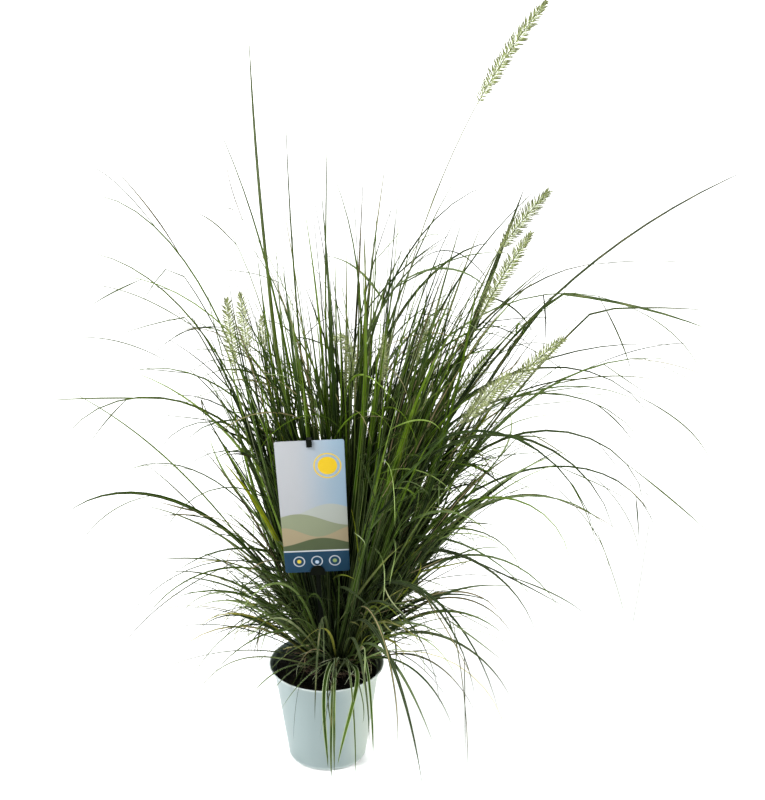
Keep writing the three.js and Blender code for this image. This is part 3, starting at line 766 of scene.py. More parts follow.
def near_card(points, distance):
    """True where a leaf comes close to the card or its stake, or hides the card's face."""
    x, y, z = to_card(points).T
    seen = z + np.minimum(0, y) * tan(radians(VIEW_DOWN))
    sideways = np.abs(x) < CARD_WIDTH_TOP / 2 + distance
    upright = (seen > -distance) & (seen < CARD_HEIGHT + distance)
    on_card = sideways & upright & (y < STAKE_DEPTH + 1 + distance)
    on_stake = (np.abs(x) < STAKE_WIDTH / 2 + distance) & (z <= 0)
    on_stake &= np.abs(y - STAKE_DEPTH / 2) < STAKE_DEPTH / 2 + 1 + distance
    return on_card | on_stake


def runs_clear(leaf, stretches):
    """True where a leaf's middle line keeps off the pot, the floor, the card and every head."""
    steps = np.arange(1, LEAF_STATIONS * CHECKS_PER_STATION + 1)
    station = (steps - 1) // CHECKS_PER_STATION
    points = at_part(middle_line(leaf)[0], steps / (LEAF_STATIONS * CHECKS_PER_STATION))
    out = np.hypot(points[:, 0], points[:, 1])
    if (points[:, 2] < FLOOR_CLEARANCE).any():
        return False
    low = (out < RIM_RADIUS + RIM_CLEARANCE) & (points[:, 2] < POT_HEIGHT + RIM_CLEARANCE)
    if (low & ((station > 1) | (out > RIM_RADIUS - RIM_REACH))).any():
        return False
    room = leaf["width"] / 2 + LEAF_CLEARANCE
    if near_card(points, room).any():
        return False
    starts, ends, radii = stretches
    along = ends - starts
    offset = points[:, None] - starts
    part = np.clip(np.sum(offset * along, -1) / np.sum(along * along, -1), 0, 1)
    distance = np.linalg.norm(offset - part[..., None] * along, axis=-1)
    return not (distance < radii + room).any()


def bent_clear(leaf, stretches):
    """Turns a leaf a little to either side until nothing is in its way, or gives up."""
    for turn in [0, 4, -4, 8, -8, 13, -13, 19, -19]:
        moved = {**leaf, "direction": leaf["direction"] + turn}
        if runs_clear(moved, stretches):
            return moved
    return None


# Modelling helpers


def deselect():
    bpy.ops.object.select_all(action="DESELECT")


def make_active(piece):
    deselect()
    piece.select_set(True)
    bpy.context.view_layer.objects.active = piece


def added(name):
    """Names the primitive that was just added."""
    piece = bpy.context.active_object
    piece.name = name
    piece.data.name = name
    return piece


def edit():
    """Goes into edit mode with everything selected."""
    bpy.ops.object.mode_set(mode="EDIT")
    bpy.ops.mesh.select_all(action="SELECT")


def leave_edit():
    bpy.ops.object.mode_set(mode="OBJECT")


def pick(piece, kind, test):
    """In edit mode, selects the faces or points that pass the test."""
    bpy.ops.mesh.select_mode(type=kind)
    bpy.ops.mesh.select_all(action="DESELECT")
    mesh = bmesh.from_edit_mesh(piece.data)
    for item in {"FACE": mesh.faces, "VERT": mesh.verts}[kind]:
        if test(item):
            item.select_set(True)
    mesh.select_flush_mode()
    bmesh.update_edit_mesh(piece.data)


def extrude_by(x, y, z):
    bpy.ops.mesh.extrude_region_move(TRANSFORM_OT_translate={"value": (x, y, z)})


def scale_by(x, y, z):
    bpy.ops.transform.resize(value=(x, y, z))


def filled_ring(name, sides, radius, place=(0, 0, 0)):
    """A filled ring, the start of whatever is drawn up from it."""
    deselect()
    bpy.ops.mesh.primitive_circle_add(
        vertices=sides, radius=radius, fill_type="NGON", location=place
    )
    return added(name)


def draw_up(radius, height, rings):
    """In edit mode, takes the selected ring on through further radii and heights."""
    for next_radius, next_height in rings:
        extrude_by(0, 0, (next_height - height) * MM)
        scale_by(next_radius / radius, next_radius / radius, 1)
        radius, height = next_radius, next_height


def unit_rod(name, sides, steps):
    """A straight rod along Z, 1 long and 1 in radius, in edit mode with its upper end selected."""
    rod = filled_ring(name, sides, 1)
    edit()
    for _ in range(steps):
        extrude_by(0, 0, 1 / steps)
    return rod


def settle(piece):
    """Merges doubles, turns the faces outwards and puts the piece's place into its mesh."""
    make_active(piece)
    bpy.ops.object.transform_apply(location=True, rotation=True, scale=True)
    edit()
    bpy.ops.mesh.remove_doubles(threshold=1e-7)
    bpy.ops.mesh.normals_make_consistent(inside=False)
    leave_edit()
    return piece


def smooth(piece, angle):
    make_active(piece)
    bpy.ops.object.shade_smooth_by_angle(angle=radians(angle))
    return piece


def modify(piece, kind, **settings):
    """Adds a modifier and applies it."""
    make_active(piece)
    modifier = piece.modifiers.new(kind.title(), kind)
    for name, value in settings.items():
        setattr(modifier, name, value)
    bpy.ops.object.modifier_apply(modifier=modifier.name)


def put_away(piece):
    bpy.data.objects.remove(piece, do_unlink=True)


def fit_out(piece, material, slot, *nodes):
    """Gives a finished piece its material and its body, and hides the nodes that it stands for. The
    slot is not used.
    """
    piece.data.materials.clear()
    piece.data.materials.append(material)
    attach(piece, "root")
    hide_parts(*nodes)


def shape_of(master):
    """A master's points as an array."""
    places = np.empty(len(master.data.vertices) * 3, np.float32)
    master.data.vertices.foreach_get("co", places)
    return places.reshape(-1, 3).astype(float)


def carry(master, *names):
    """Gives a master the values that each of its copies sets for itself."""
    for name in names:
        master.data.attributes.new(name, "FLOAT", "POINT")


def copy_of(master, places, **values):
    """A copy of a master with a mesh of its own: its points' places, and a value for each name."""
    copy = master.copy()
    copy.data = master.data.copy()
    copy.data.vertices.foreach_set("co", (places * MM).ravel())
    for name, value in values.items():
        numbers = np.full(len(places), value, np.float32)
        copy.data.attributes[name].data.foreach_set("value", numbers)
    bpy.context.collection.objects.link(copy)
    return copy


def join_copies(copies, name):
    deselect()
    for copy in copies:
        copy.select_set(True)
    bpy.context.view_layer.objects.active = copies[0]
    bpy.ops.object.join()
    return added(name)


def gather(copies, name, angle, material, slot, *nodes):
    """Joins copies in one finished piece, smooth over edges up to an angle."""
    fit_out(smooth(join_copies(copies, name), angle), material, slot, *nodes)


# Node helpers


def feed(tree, made, inputs):
    """Links each input of a node that is given as a socket, and sets any other."""
    for key, value in inputs.items():
        if isinstance(value, bpy.types.NodeSocket):
            tree.links.new(value, made.inputs[key])
        else:
            made.inputs[key].default_value = value


def node(tree, kind, inputs=None, **settings):
    made = tree.nodes.new(kind)
    for name, value in settings.items():
        setattr(made, name, value)
    feed(tree, made, inputs or {})
    return made


def maths(tree, operation, a, b=0.0, c=0.0):
    return node(tree, "ShaderNodeMath", {0: a, 1: b, 2: c}, operation=operation).outputs[0]


def mixed(tree, factor, a, b):
    """A colour between two, of which either may be a socket or three numbers."""
    colours = [value if isinstance(value, bpy.types.NodeSocket) else (*value, 1) for value in (a, b)]
    inputs = {"Factor": factor, 6: colours[0], 7: colours[1]}
    return node(tree, "ShaderNodeMix", inputs, data_type="RGBA").outputs[2]


def ramp(tree, factor, stops):
    """A colour ramp with stops of place and colour."""
    made = node(tree, "ShaderNodeValToRGB", {"Fac": factor})
    elements = made.color_ramp.elements
    while len(elements) < len(stops):
        elements.new(1.0)
    for element, (place, colour) in zip(elements, stops):
        element.position = place
        element.color = (*colour, 1)
    return made.outputs["Color"]


def spread_of(tree, value, low, high, to_low=0.0, to_high=1.0):
    """A soft step between two values."""
    limits = {"From Min": low, "From Max": high, "To Min": to_low, "To Max": to_high}
    inputs = {"Value": value, **limits}
    made = node(tree, "ShaderNodeMapRange", inputs, interpolation_type="SMOOTHSTEP")
    return made.outputs["Result"]


def parts_of(tree, vector):
    """The parts of a vector, by their names X, Y and Z."""
    return node(tree, "ShaderNodeSeparateXYZ", {"Vector": vector}).outputs


def map_of(tree):
    """The two coordinates of a piece's texture map."""
    split = parts_of(tree, node(tree, "ShaderNodeUVMap", uv_map="UVMap").outputs["UV"])
    return split["X"], split["Y"]


def value_of(tree, name):
    """A value that each copy in a piece carries."""
    return node(tree, "ShaderNodeAttribute", attribute_name=name).outputs["Fac"]


def effect(name, inputs, outputs):
    """A shader node group with named inputs and outputs, and its two end nodes."""
    tree = bpy.data.node_groups.new(name, "ShaderNodeTree")
    for label, (kind, value) in inputs.items():
        socket = tree.interface.new_socket(name=label, in_out="INPUT", socket_type=kind)
        if value is not None:
            socket.default_value = value
    for label, kind in outputs.items():
        tree.interface.new_socket(name=label, in_out="OUTPUT", socket_type=kind)
    return tree, tree.nodes.new("NodeGroupInput").outputs, tree.nodes.new("NodeGroupOutput").inputs


def new_material(name):
    """A material with its Principled shader, and object coordinates to draw patterns with."""
    material = bpy.data.materials.new(name)
    material.use_nodes = True
    tree = material.node_tree
    shader = tree.nodes["Principled BSDF"]
    place = tree.nodes.new("ShaderNodeTexCoord").outputs["Object"]
    return material, tree, shader, place


def bump(tree, height, strength, distance, normal=None):
    inputs = {"Height": height, "Strength": strength, "Distance": distance}
    if normal is not None:
        inputs["Normal"] = normal
    return node(tree, "ShaderNodeBump", inputs).outputs["Normal"]


def noise_of(tree, given, detail):
    """Noise at the place and scale that an effect is given."""
    inputs = {"Vector": given["Place"], "Scale": given["Scale"], "Detail": detail}
    return node(tree, "ShaderNodeTexNoise", inputs).outputs["Fac"]


# Effects that several materials share


def make_mottle():
    """Soft cloudy change over a surface, between 0 and 1."""
    tree, given, result = effect(
        "mottle",
        {
            "Place": ("NodeSocketVector", None),
            "Scale": ("NodeSocketFloat", 20.0),
            "Contrast": ("NodeSocketFloat", 1.0),
        },
        {"Value": "NodeSocketFloat"},
    )
    centre = maths(tree, "SUBTRACT", noise_of(tree, given, 4.0), 0.5)
    raised = maths(tree, "MULTIPLY_ADD", centre, given["Contrast"], 0.5)
    clamped = node(tree, "ShaderNodeClamp", {"Value": raised})
    tree.links.new(clamped.outputs[0], result["Value"])
    return tree


def make_grain():
    """Fine relief as a normal, for peat, plastic skin and leaf surfaces."""
    tree, given, result = effect(
        "grain",
        {
            "Place": ("NodeSocketVector", None),
            "Scale": ("NodeSocketFloat", 500.0),
            "Strength": ("NodeSocketFloat", 0.2),
            "Depth": ("NodeSocketFloat", GRAIN_DEPTH),
        },
        {"Normal": "NodeSocketVector"},
    )
    normal = bump(tree, noise_of(tree, given, 3.0), given["Strength"], given["Depth"])
    tree.links.new(normal, result["Normal"])
    return tree


MOTTLE = make_mottle()
GRAIN = make_grain()


def clouds_of(tree, place, scale, contrast):
    inputs = {"Place": place, "Scale": scale, "Contrast": contrast}
    return node(tree, "ShaderNodeGroup", inputs, node_tree=MOTTLE).outputs["Value"]


def grain_of(tree, place, scale, strength, depth=GRAIN_DEPTH):
    inputs = {"Place": place, "Scale": scale, "Strength": strength, "Depth": depth}
    return node(tree, "ShaderNodeGroup", inputs, node_tree=GRAIN).outputs["Normal"]


# Materials


def leaf_material(name, greens, shine, margin=0.15):
    """A grass blade: its green by its tone, darker ribs, a pale midrib and pale margins. Over its
    section it turns straw on the upper groove when it is dry, and paler on the keel below."""
    material, tree, shader, place = new_material(name)
    across, section = map_of(tree)
    tone = value_of(tree, "tone")
    dry = value_of(tree, "dry")
    clouds = clouds_of(tree, place, 45.0, 1.6)
    shade = maths(tree, "MULTIPLY_ADD", maths(tree, "SUBTRACT", clouds, 0.5), 0.35, tone)
    green = ramp(tree, shade, greens)

    # Ribs along the blade, the midrib and the margins
    from_middle = maths(tree, "ABSOLUTE", maths(tree, "SUBTRACT", maths(tree, "FRACT", across), 0.5))
    wave = maths(tree, "SINE", maths(tree, "MULTIPLY", from_middle, 75.0))
    colour = mixed(tree, maths(tree, "MULTIPLY_ADD", wave, 0.15, 0.15), green, (0.010, 0.022, 0.006))
    midrib = spread_of(tree, from_middle, 0.03, 0.08, 0.2, 0.0)
    colour = mixed(tree, midrib, colour, (0.20, 0.26, 0.13))
    edge = spread_of(tree, from_middle, 0.38 - 0.1 * margin, 0.46 - 0.1 * margin, 0.0, margin)
    colour = mixed(tree, edge, colour, (0.38, 0.46, 0.26))

    # The section runs from 0 on the keel over 0.5 at both edges to 1 on the groove
    keel = spread_of(tree, section, 0.0, 0.16, 0.45, 0.0)
    colour = mixed(tree, keel, colour, (0.17, 0.19, 0.08))
    uneven = maths(tree, "MULTIPLY_ADD", clouds, 0.3, section)
    start = maths(tree, "SUBTRACT", 1.22, maths(tree, "MULTIPLY", dry, 1.3))
    dried = spread_of(tree, maths(tree, "SUBTRACT", uneven, start), 0.0, 0.12)

    # Strongest green at half of the clump's height, duller at its top and darker there as painted shade
    height = parts_of(tree, place)["Z"]
    strong = spread_of(tree, height, 0.2, 0.42, 0.98, 1.2)
    dull_groove = spread_of(tree, section, 0.4, 0.95, 1.0, 0.55 + 0.6 * margin)
    strong = maths(tree, "MULTIPLY", strong, dull_groove)
    strong = maths(tree, "MULTIPLY", strong, spread_of(tree, height, 0.48, 0.7, 1.0, 0.7))
    light = spread_of(tree, height, 0.3, 0.7, 1.0, 0.85)
    shift = {"Color": colour, "Saturation": strong, "Value": light}
    colour = node(tree, "ShaderNodeHueSaturation", shift).outputs["Color"]
    grain = grain_of(tree, place, 900.0, 0.15, 0.0003)
    feed(tree, shader, {
        "Base Color": mixed(tree, dried, colour, STRAW),
        "Roughness": maths(tree, "MULTIPLY_ADD", clouds, 0.2, shine),
        "Specular IOR Level": 0.02,
        "Normal": bump(tree, wave, 0.25, 0.0002, grain),
    })
    return material


FRESH_GREENS = [
    (0.0, (0.005, 0.015, 0.0)),
    (0.3, (0.026, 0.060, 0.001)),
    (0.65, (0.140, 0.220, 0.042)),
    (1.0, (0.430, 0.540, 0.240)),
]
GREY_GREENS = [
    (0.0, (0.010, 0.020, 0.001)),
    (0.35, (0.046, 0.074, 0.012)),
    (0.7, (0.155, 0.205, 0.070)),
    (1.0, (0.490, 0.550, 0.360)),
]
LIME_GREENS = [
    (0.0, (0.018, 0.036, 0.001)),
    (0.5, (0.150, 0.190, 0.008)),
    (1.0, (0.460, 0.470, 0.050)),
]
YELLOWED = [
    (0.0, (0.070, 0.080, 0.010)),
    (0.5, (0.300, 0.300, 0.030)),
    (1.0, (0.620, 0.540, 0.120)),
]
STRAW = (0.30, 0.24, 0.13)
RIPENESS = [
    (0.0, (0.060, 0.066, 0.030)),
    (0.4, (0.160, 0.180, 0.070)),
    (0.75, (0.360, 0.410, 0.180)),
    (1.0, (0.560, 0.580, 0.360)),
]


def stem_material():
    material, tree, shader, place = new_material("flower_stem_green")
    greens = [(0.2, (0.06, 0.075, 0.03)), (0.8, (0.17, 0.19, 0.09))]
    feed(tree, shader, {
        "Base Color": ramp(tree, clouds_of(tree, place, 60.0, 1.5), greens),
        "Roughness": 0.5,
        "Normal": grain_of(tree, place, 700.0, 0.2),
    })
    return material


def plume_material():
    """Spikelets: yellow-green at the foot, olive in the grain by ripeness, pale fine bristles."""
    material, tree, shader, place = new_material("spikelet_cream_green")
    tone = value_of(tree, "tone")
    reach = value_of(tree, "reach")
    hair = value_of(tree, "hair")
    clouds = clouds_of(tree, place, 300.0, 1.5)
    lit = maths(tree, "MULTIPLY_ADD", maths(tree, "SUBTRACT", clouds, 0.5), 0.3, tone)
    ripening = spread_of(tree, tone, 0.2, 0.75)
    foot = mixed(tree, ripening, (0.44, 0.51, 0.18), (0.56, 0.62, 0.26))
    colour = mixed(tree, spread_of(tree, reach, 0.1, 0.6, 0.9, 0.0), ramp(tree, lit, RIPENESS), foot)
    colour = mixed(tree, spread_of(tree, reach, 0.6, 0.95, 0.0, 0.6), colour, (0.07, 0.07, 0.04))
    bristles = mixed(tree, ripening, (0.50, 0.57, 0.28), (0.66, 0.70, 0.42))
    feed(tree, shader, {
        "Base Color": mixed(tree, hair, colour, bristles),
        "Roughness": 0.75,
        "Specular IOR Level": 0.15,
        "Normal": grain_of(tree, place, 1500.0, 0.3),
    })
    return material


def pot_material():
    """Smooth pale moulded plastic with a faint skin, painted light and highlights, near black inside
    over the peat.
    """
    material, tree, shader, place = new_material("pot_pale_blue_plastic")
    soft = clouds_of(tree, place, 9.0, 1.0)
    colour = mixed(tree, soft, (0.260, 0.332, 0.337), (0.292, 0.364, 0.360))
    split = parts_of(tree, place)
    x, y, z = split["X"], split["Y"], split["Z"]
    # Painted light: the pot turns lighter and greener towards its right side
    colour = mixed(tree, spread_of(tree, x, 0.012, 0.05), colour, (0.370, 0.430, 0.370))
    # Painted highlights: a pale band along the rim's top and round the foot's lower edge
    painted_rim_highlight = spread_of(tree, z, 0.1145, 0.1165)
    painted_highlights = maths(tree, "ADD", painted_rim_highlight, spread_of(tree, z, 0.001, 0.006, 1.0, 0.0))
    colour = mixed(tree, maths(tree, "MULTIPLY", painted_highlights, 0.6), colour, (0.70, 0.76, 0.74))

    # What lies inside the middle of the wall turns near black, up to a rough edge over the peat
    flat = node(tree, "ShaderNodeCombineXYZ", {"X": x, "Y": y}).outputs[0]
    out = node(tree, "ShaderNodeVectorMath", {0: flat}, operation="LENGTH").outputs["Value"]
    slope = (RIM_RADIUS - FLARE_START_RADIUS) / (POT_HEIGHT - FLARE_START_HEIGHT)
    rise = maths(tree, "SUBTRACT", z, POT_HEIGHT * MM)
    wall = maths(tree, "MULTIPLY_ADD", rise, slope * 1.4, (RIM_RADIUS - POT_WALL + 0.3) * MM)
    inside = spread_of(tree, maths(tree, "SUBTRACT", wall, out), 0.0, 0.0006)
    level = maths(tree, "MULTIPLY_ADD", clouds_of(tree, place, 260.0, 2.0), -0.005, z)
    inner_dark_band = maths(tree, "MULTIPLY", spread_of(tree, level, 0.109, 0.113, 0.93, 0.0), inside)
    feed(tree, shader, {
        "Base Color": mixed(tree, inner_dark_band, colour, (0.010, 0.008, 0.005)),
        "Roughness": maths(tree, "MULTIPLY_ADD", soft, 0.12, 0.34),
        "Normal": grain_of(tree, place, 420.0, 0.05, 0.0003),
        "Specular IOR Level": maths(tree, "MULTIPLY_ADD", inner_dark_band, -0.38, 0.4),
        "Subsurface Weight": 0.08,
        "Subsurface Radius": (0.004, 0.004, 0.004),
    })
    return material


def peat_material():
    """Damp peat: near black, with brown fibres and a few paler grains."""
    material, tree, shader, place = new_material("damp_peat")
    clumps = clouds_of(tree, place, 120.0, 2.4)
    fibres = clouds_of(tree, place, 900.0, 2.4)
    darks = [
        (0.0, (0.0004, 0.0004, 0.0002)),
        (0.6, (0.0015, 0.0014, 0.0007)),
        (1.0, (0.009, 0.007, 0.004)),
    ]
    brown = spread_of(tree, fibres, 0.78, 1.0, 0.0, 0.5)
    grain = grain_of(tree, place, 1400.0, 0.8, 0.001)
    feed(tree, shader, {
        "Base Color": mixed(tree, brown, ramp(tree, clumps, darks), (0.060, 0.042, 0.026)),
        "Roughness": maths(tree, "MULTIPLY_ADD", fibres, 0.5, 0.3),
        "Specular IOR Level": 0.05,
        "Normal": bump(tree, clumps, 0.6, 0.002, grain),
    })
    return material


def root_material():
    material, tree, shader, place = new_material("fine_root_brown")
    browns = [(0.1, (0.035, 0.020, 0.012)), (0.5, (0.100, 0.060, 0.038)), (0.9, (0.320, 0.240, 0.160))]
    colour = ramp(tree, clouds_of(tree, place, 90.0, 2.0), browns)
    feed(tree, shader, {"Base Color": colour, "Roughness": 0.7})
    return material


def stake_material():
    material, tree, shader, place = new_material("stake_black_plastic")
    soft = clouds_of(tree, place, 80.0, 1.5)
    feed(tree, shader, {
        "Base Color": ramp(tree, soft, [(0.0, (0.0015, 0.0025, 0.0012)), (1.0, (0.004, 0.006, 0.003))]),
        "Specular IOR Level": 0.05,
        "Roughness": maths(tree, "MULTIPLY_ADD", soft, 0.15, 0.32),
        "Normal": grain_of(tree, place, 800.0, 0.1),
    })
    return material


# Printed card

# Heights and widths on the card are parts of its upper width, from the middle of its lower edge
SUN_PLACE = (0.24, 1.72)
SIGN_RADIUS = 0.085
SIGN_RIM = 0.015
NAVY = (0.006, 0.046, 0.095)
PALE = (0.55, 0.60, 0.66)
SUN_YELLOW = (0.72, 0.48, 0.01)
RING_YELLOW = (0.70, 0.50, 0.03)
SKY = [(0.3, (0.345, 0.345, 0.340)), (0.9, (0.23, 0.345, 0.475)), (1.0, (0.27, 0.385, 0.49))]
# Each hill: height of its edge, how much that waves, how often, where the wave starts, colour
HILLS = [
    (1.02, 0.09, 5.0, 0.4, (0.38, 0.41, 0.37)),
    (0.86, 0.10, 4.2, 2.6, (0.24, 0.27, 0.17)),
    (0.66, 0.08, 6.1, 4.4, (0.34, 0.28, 0.17)),
    (0.50, 0.06, 5.2, 1.1, (0.075, 0.10, 0.045)),
]
# Each sign: how far to the side it stands, then its spot's height, radius and colour
SIGNS = [
    (-0.26, 0.18, 0.03, (0.80, 0.62, 0.05)),
    (0.0, 0.165, 0.028, (0.55, 0.68, 0.85)),
    (0.26, 0.18, 0.03, (0.30, 0.42, 0.14)),
]


def disc(tree, across, up, x, y, radius):
    """1 inside a round spot and 0 outside it."""
    dx = maths(tree, "SUBTRACT", across, x)
    dy = maths(tree, "SUBTRACT", up, y)
    squares = maths(tree, "ADD", maths(tree, "MULTIPLY", dx, dx), maths(tree, "MULTIPLY", dy, dy))
    away = maths(tree, "SQRT", squares)
    return spread_of(tree, away, radius - 0.006, radius + 0.006, 1.0, 0.0)


def card_material():
    """A printed card: a pale sky over low hills, a yellow sun, and a navy foot with three signs."""
    material, tree, shader, place = new_material("printed_card")
    across, up = map_of(tree)
    haze = spread_of(tree, across, -0.3, 0.5, 0.55, 0.0)
    art = mixed(tree, haze, ramp(tree, up, SKY), (0.50, 0.43, 0.38))
    outer = disc(tree, across, up, *SUN_PLACE, 0.2)
    ring_of_sun = maths(tree, "SUBTRACT", outer, disc(tree, across, up, *SUN_PLACE, 0.18))
    art = mixed(tree, ring_of_sun, art, RING_YELLOW)
    art = mixed(tree, disc(tree, across, up, *SUN_PLACE, 0.14), art, SUN_YELLOW)
    for height, amount, count, shift, colour in HILLS:
        wave = maths(tree, "SINE", maths(tree, "MULTIPLY_ADD", across, count, shift))
        edge = maths(tree, "MULTIPLY_ADD", wave, amount, height)
        below = spread_of(tree, maths(tree, "SUBTRACT", edge, up), -0.008, 0.008)
        art = mixed(tree, below, art, colour)
    art = mixed(tree, spread_of(tree, up, 0.355, 0.365, 1.0, 0.0), art, (0.62, 0.65, 0.68))
    art = mixed(tree, spread_of(tree, up, 0.335, 0.345, 1.0, 0.0), art, NAVY)
    for x, y, radius, colour in SIGNS:
        art = mixed(tree, disc(tree, across, up, x, 0.18, SIGN_RADIUS), art, PALE)
        art = mixed(tree, disc(tree, across, up, x, 0.18, SIGN_RADIUS - SIGN_RIM), art, NAVY)
        art = mixed(tree, disc(tree, across, up, x, y, radius), art, colour)
    clouds = clouds_of(tree, place, 40.0, 1.0)
    feed(tree, shader, {
        "Base Color": art,
        "Roughness": maths(tree, "MULTIPLY_ADD", clouds, 0.15, 0.3),
        "Specular IOR Level": 0.2,
        "Normal": grain_of(tree, place, 60.0, 0.05, 0.001),
    })
    return material


# Pot


def wall_radius(z):
    """Outer radius of the pot's wall at a height, with the flare under the rim."""
    slope = (FLARE_START_RADIUS - BASE_RADIUS) / FLARE_START_HEIGHT
    flare = max(0, z - FLARE_START_HEIGHT) / (POT_HEIGHT - FLARE_START_HEIGHT)
    extra = RIM_RADIUS - (BASE_RADIUS + slope * POT_HEIGHT)
    return BASE_RADIUS + slope * z + extra * flare * flare


def pot_profile():
    """Radius and height of each ring of the pot, up the outside and down the inside."""
    rings = [(BASE_RADIUS - BASE_CORNER, 0)]
    for i in range(1, 5):
        turn = radians(90 * i / 4)
        z = BASE_CORNER * (1 - cos(turn))
        rings.append((wall_radius(z) - BASE_CORNER * (1 - sin(turn)), z))
    rings += [(wall_radius(z), z) for z in POT_WALL_HEIGHTS]
    lip = POT_WALL / 2
    for i in range(7):
        turn = radians(180 * i / 6)
        rings.append((RIM_RADIUS - lip + lip * cos(turn), POT_HEIGHT - lip + lip * sin(turn)))
    inside = [z for z in reversed(POT_WALL_HEIGHTS) if z != 92] + [BASE_THICKNESS + 1]
    rings += [(wall_radius(z) - POT_WALL, z) for z in inside]
    return rings + [(BASE_RADIUS - POT_WALL - 1, BASE_THICKNESS)]


def make_pot(material):
    """Drawn up from its base ring by ring, rolled over at the rim and back down inside."""
    (radius, height), *rings = pot_profile()
    pot = filled_ring("nursery_pot", POT_SIDES, radius * MM)
    edit()
    draw_up(radius, height, rings)
    leave_edit()
    settle(pot)
    for i in range(DRAIN_HOLES):
        angle = 2 * pi * i / DRAIN_HOLES
        place = (DRAIN_CIRCLE * cos(angle) * MM, DRAIN_CIRCLE * sin(angle) * MM, 0)
        deselect()
        bpy.ops.mesh.primitive_cylinder_add(
            vertices=24, radius=DRAIN_RADIUS * MM, depth=4 * BASE_THICKNESS * MM, location=place
        )
        drill = added("drain_drill")
        modify(pot, "BOOLEAN", object=drill, operation="DIFFERENCE", solver="EXACT")
        put_away(drill)
    smooth(pot, 35)
    fit_out(pot, material, "pot", "pot")


# Peat, crumbs, crown, roots


def peat_height(x, y):
    """Height of the peat's surface: broad swells with smaller lumps on them."""
    broad = sin(x * 0.11 + 1.3) * cos(y * 0.13 - 0.4)
    lumps = sin(x * 0.33 - y * 0.21) * sin(y * 0.37 + x * 0.12 + 2)
    return SOIL_LEVEL + PEAT_RELIEF * (0.6 * broad + 0.4 * lumps)


def make_peat(material):
    """A body of peat whose top is inset ring by ring and then raised into lumps and crumbs, and
    up against the pot's wall."""
    foot = BASE_THICKNESS + GAP
    radius = BASE_RADIUS - POT_WALL - 2 * GAP
    shoulder = SOIL_LEVEL - 3
    edge = wall_radius(shoulder) - POT_WALL - GAP
    sides = [(wall_radius(z) - POT_WALL - 2 * GAP, z) for z in [40, 75, 96, 101, shoulder]]
    insets = [(edge * (1 - (i + 1) / (PEAT_RINGS + 0.6)), shoulder) for i in range(PEAT_RINGS)]
    peat = filled_ring("peat", 120, radius * MM, (0, 0, foot * MM))
    edit()
    draw_up(radius, foot, sides + insets)
    leave_edit()
    settle(peat)
    top = peat.vertex_groups.new(name="top")
    for v in peat.data.vertices:
        x, y, z = v.co / MM
        if z > shoulder - 0.5:
            v.co.z = (peat_height(x, y) + 3.0 * (math.hypot(x, y) / edge) ** 8) * MM
            top.add([v.index], 1, "REPLACE")
    crumbs = bpy.data.textures.new("peat_crumbs", "CLOUDS")
    crumbs.noise_scale = 0.006
    crumbs.noise_depth = 3
    modify(
        peat, "DISPLACE", texture=crumbs, texture_coords="LOCAL", vertex_group="top", direction="Z",
        strength=0.0035, mid_level=0.5,
    )
    smooth(peat, 60)
    fit_out(peat, material, "soil", "root_ball")


def make_crumbs(material):
    """Loose crumbs of peat on the surface, all turned and squashed from one."""
    deselect()
    bpy.ops.mesh.primitive_ico_sphere_add(subdivisions=1, radius=1)
    crumb = added("crumb")
    edit()
    bpy.ops.transform.vertex_random(offset=0.28, uniform=0.6, seed=5)
    leave_edit()
    shape = shape_of(crumb)
    draw = make_draw(77)
    copies = []
    while len(copies) < CRUMB_COUNT:
        out = CRUMB_REACH * math.sqrt(draw())
        angle = 2 * pi * draw()
        x, y = out * cos(angle), out * sin(angle)
        size = 0.5 + 1.5 * draw() ** 2
        turn = Matrix.Rotation(6.28 * draw(), 3, "X") @ Matrix.Rotation(6.28 * draw(), 3, "Z")
        stretch = np.array([size * (0.8 + 0.6 * draw()), size, size * (0.5 + 0.4 * draw())])
        if math.hypot(x - CROWN_X, y - CROWN_Y) < CROWN_RADIUS - 4:
            continue
        place = np.array([x, y, peat_height(x, y) + 0.4 * size])
        copies.append(copy_of(crumb, (shape * stretch) @ np.array(turn).T + place))
    gather(copies, "peat_crumbs", 50, material, "soil", "root_ball")
    put_away(crumb)


def make_crown(material):
    """The mound of old sheaths and peat that the leaves come out of."""
    place = (CROWN_X * MM, CROWN_Y * MM, CROWN_FLOOR * MM)
    crown = filled_ring("crown_mound", 72, CROWN_RADIUS * MM, place)
    bpy.ops.object.transform_apply(location=True)
    edit()
    extrude_by(0, 0, (CROWN_EDGE_HEIGHT - CROWN_FLOOR) * MM)
    for _ in range(CROWN_RINGS):
        bpy.ops.mesh.inset(thickness=CROWN_RADIUS / (CROWN_RINGS + 1.5) * MM)
    leave_edit()
    settle(crown)
    for v in crown.data.vertices:
        x, y, z = v.co / MM
        away = math.hypot(x - CROWN_X, y - CROWN_Y)
        if z > CROWN_EDGE_HEIGHT - 1:
            rough = sin(x * 1.9 + 1) * sin(y * 1.7) + 0.6 * sin(x * 3.7 + y * 2.9)
            edge = 2.6 * max(0, away / CROWN_RADIUS - 0.72) / 0.28
            v.co.z = (dome_height(away) - 1.2 - edge + 0.7 * rough) * MM
    smooth(crown, 60)
    fit_out(crown, material, "soil", "grass_clump")


def sides_of(direction, helper):
    """Two directions square to a given one and to each other."""
    side = unit(np.cross(helper, direction))
    return side, np.cross(direction, side)


def laid_rod(shape, line, radius, helper):
    """Places of a unit rod's points along a line of places and directions."""
    x, y, part = shape.T
    places, directions = line
    side, other = sides_of(unit(at_part(directions, part)), helper)
    return at_part(places, part) + side * (x * radius)[:, None] + other * (y * radius)[:, None]


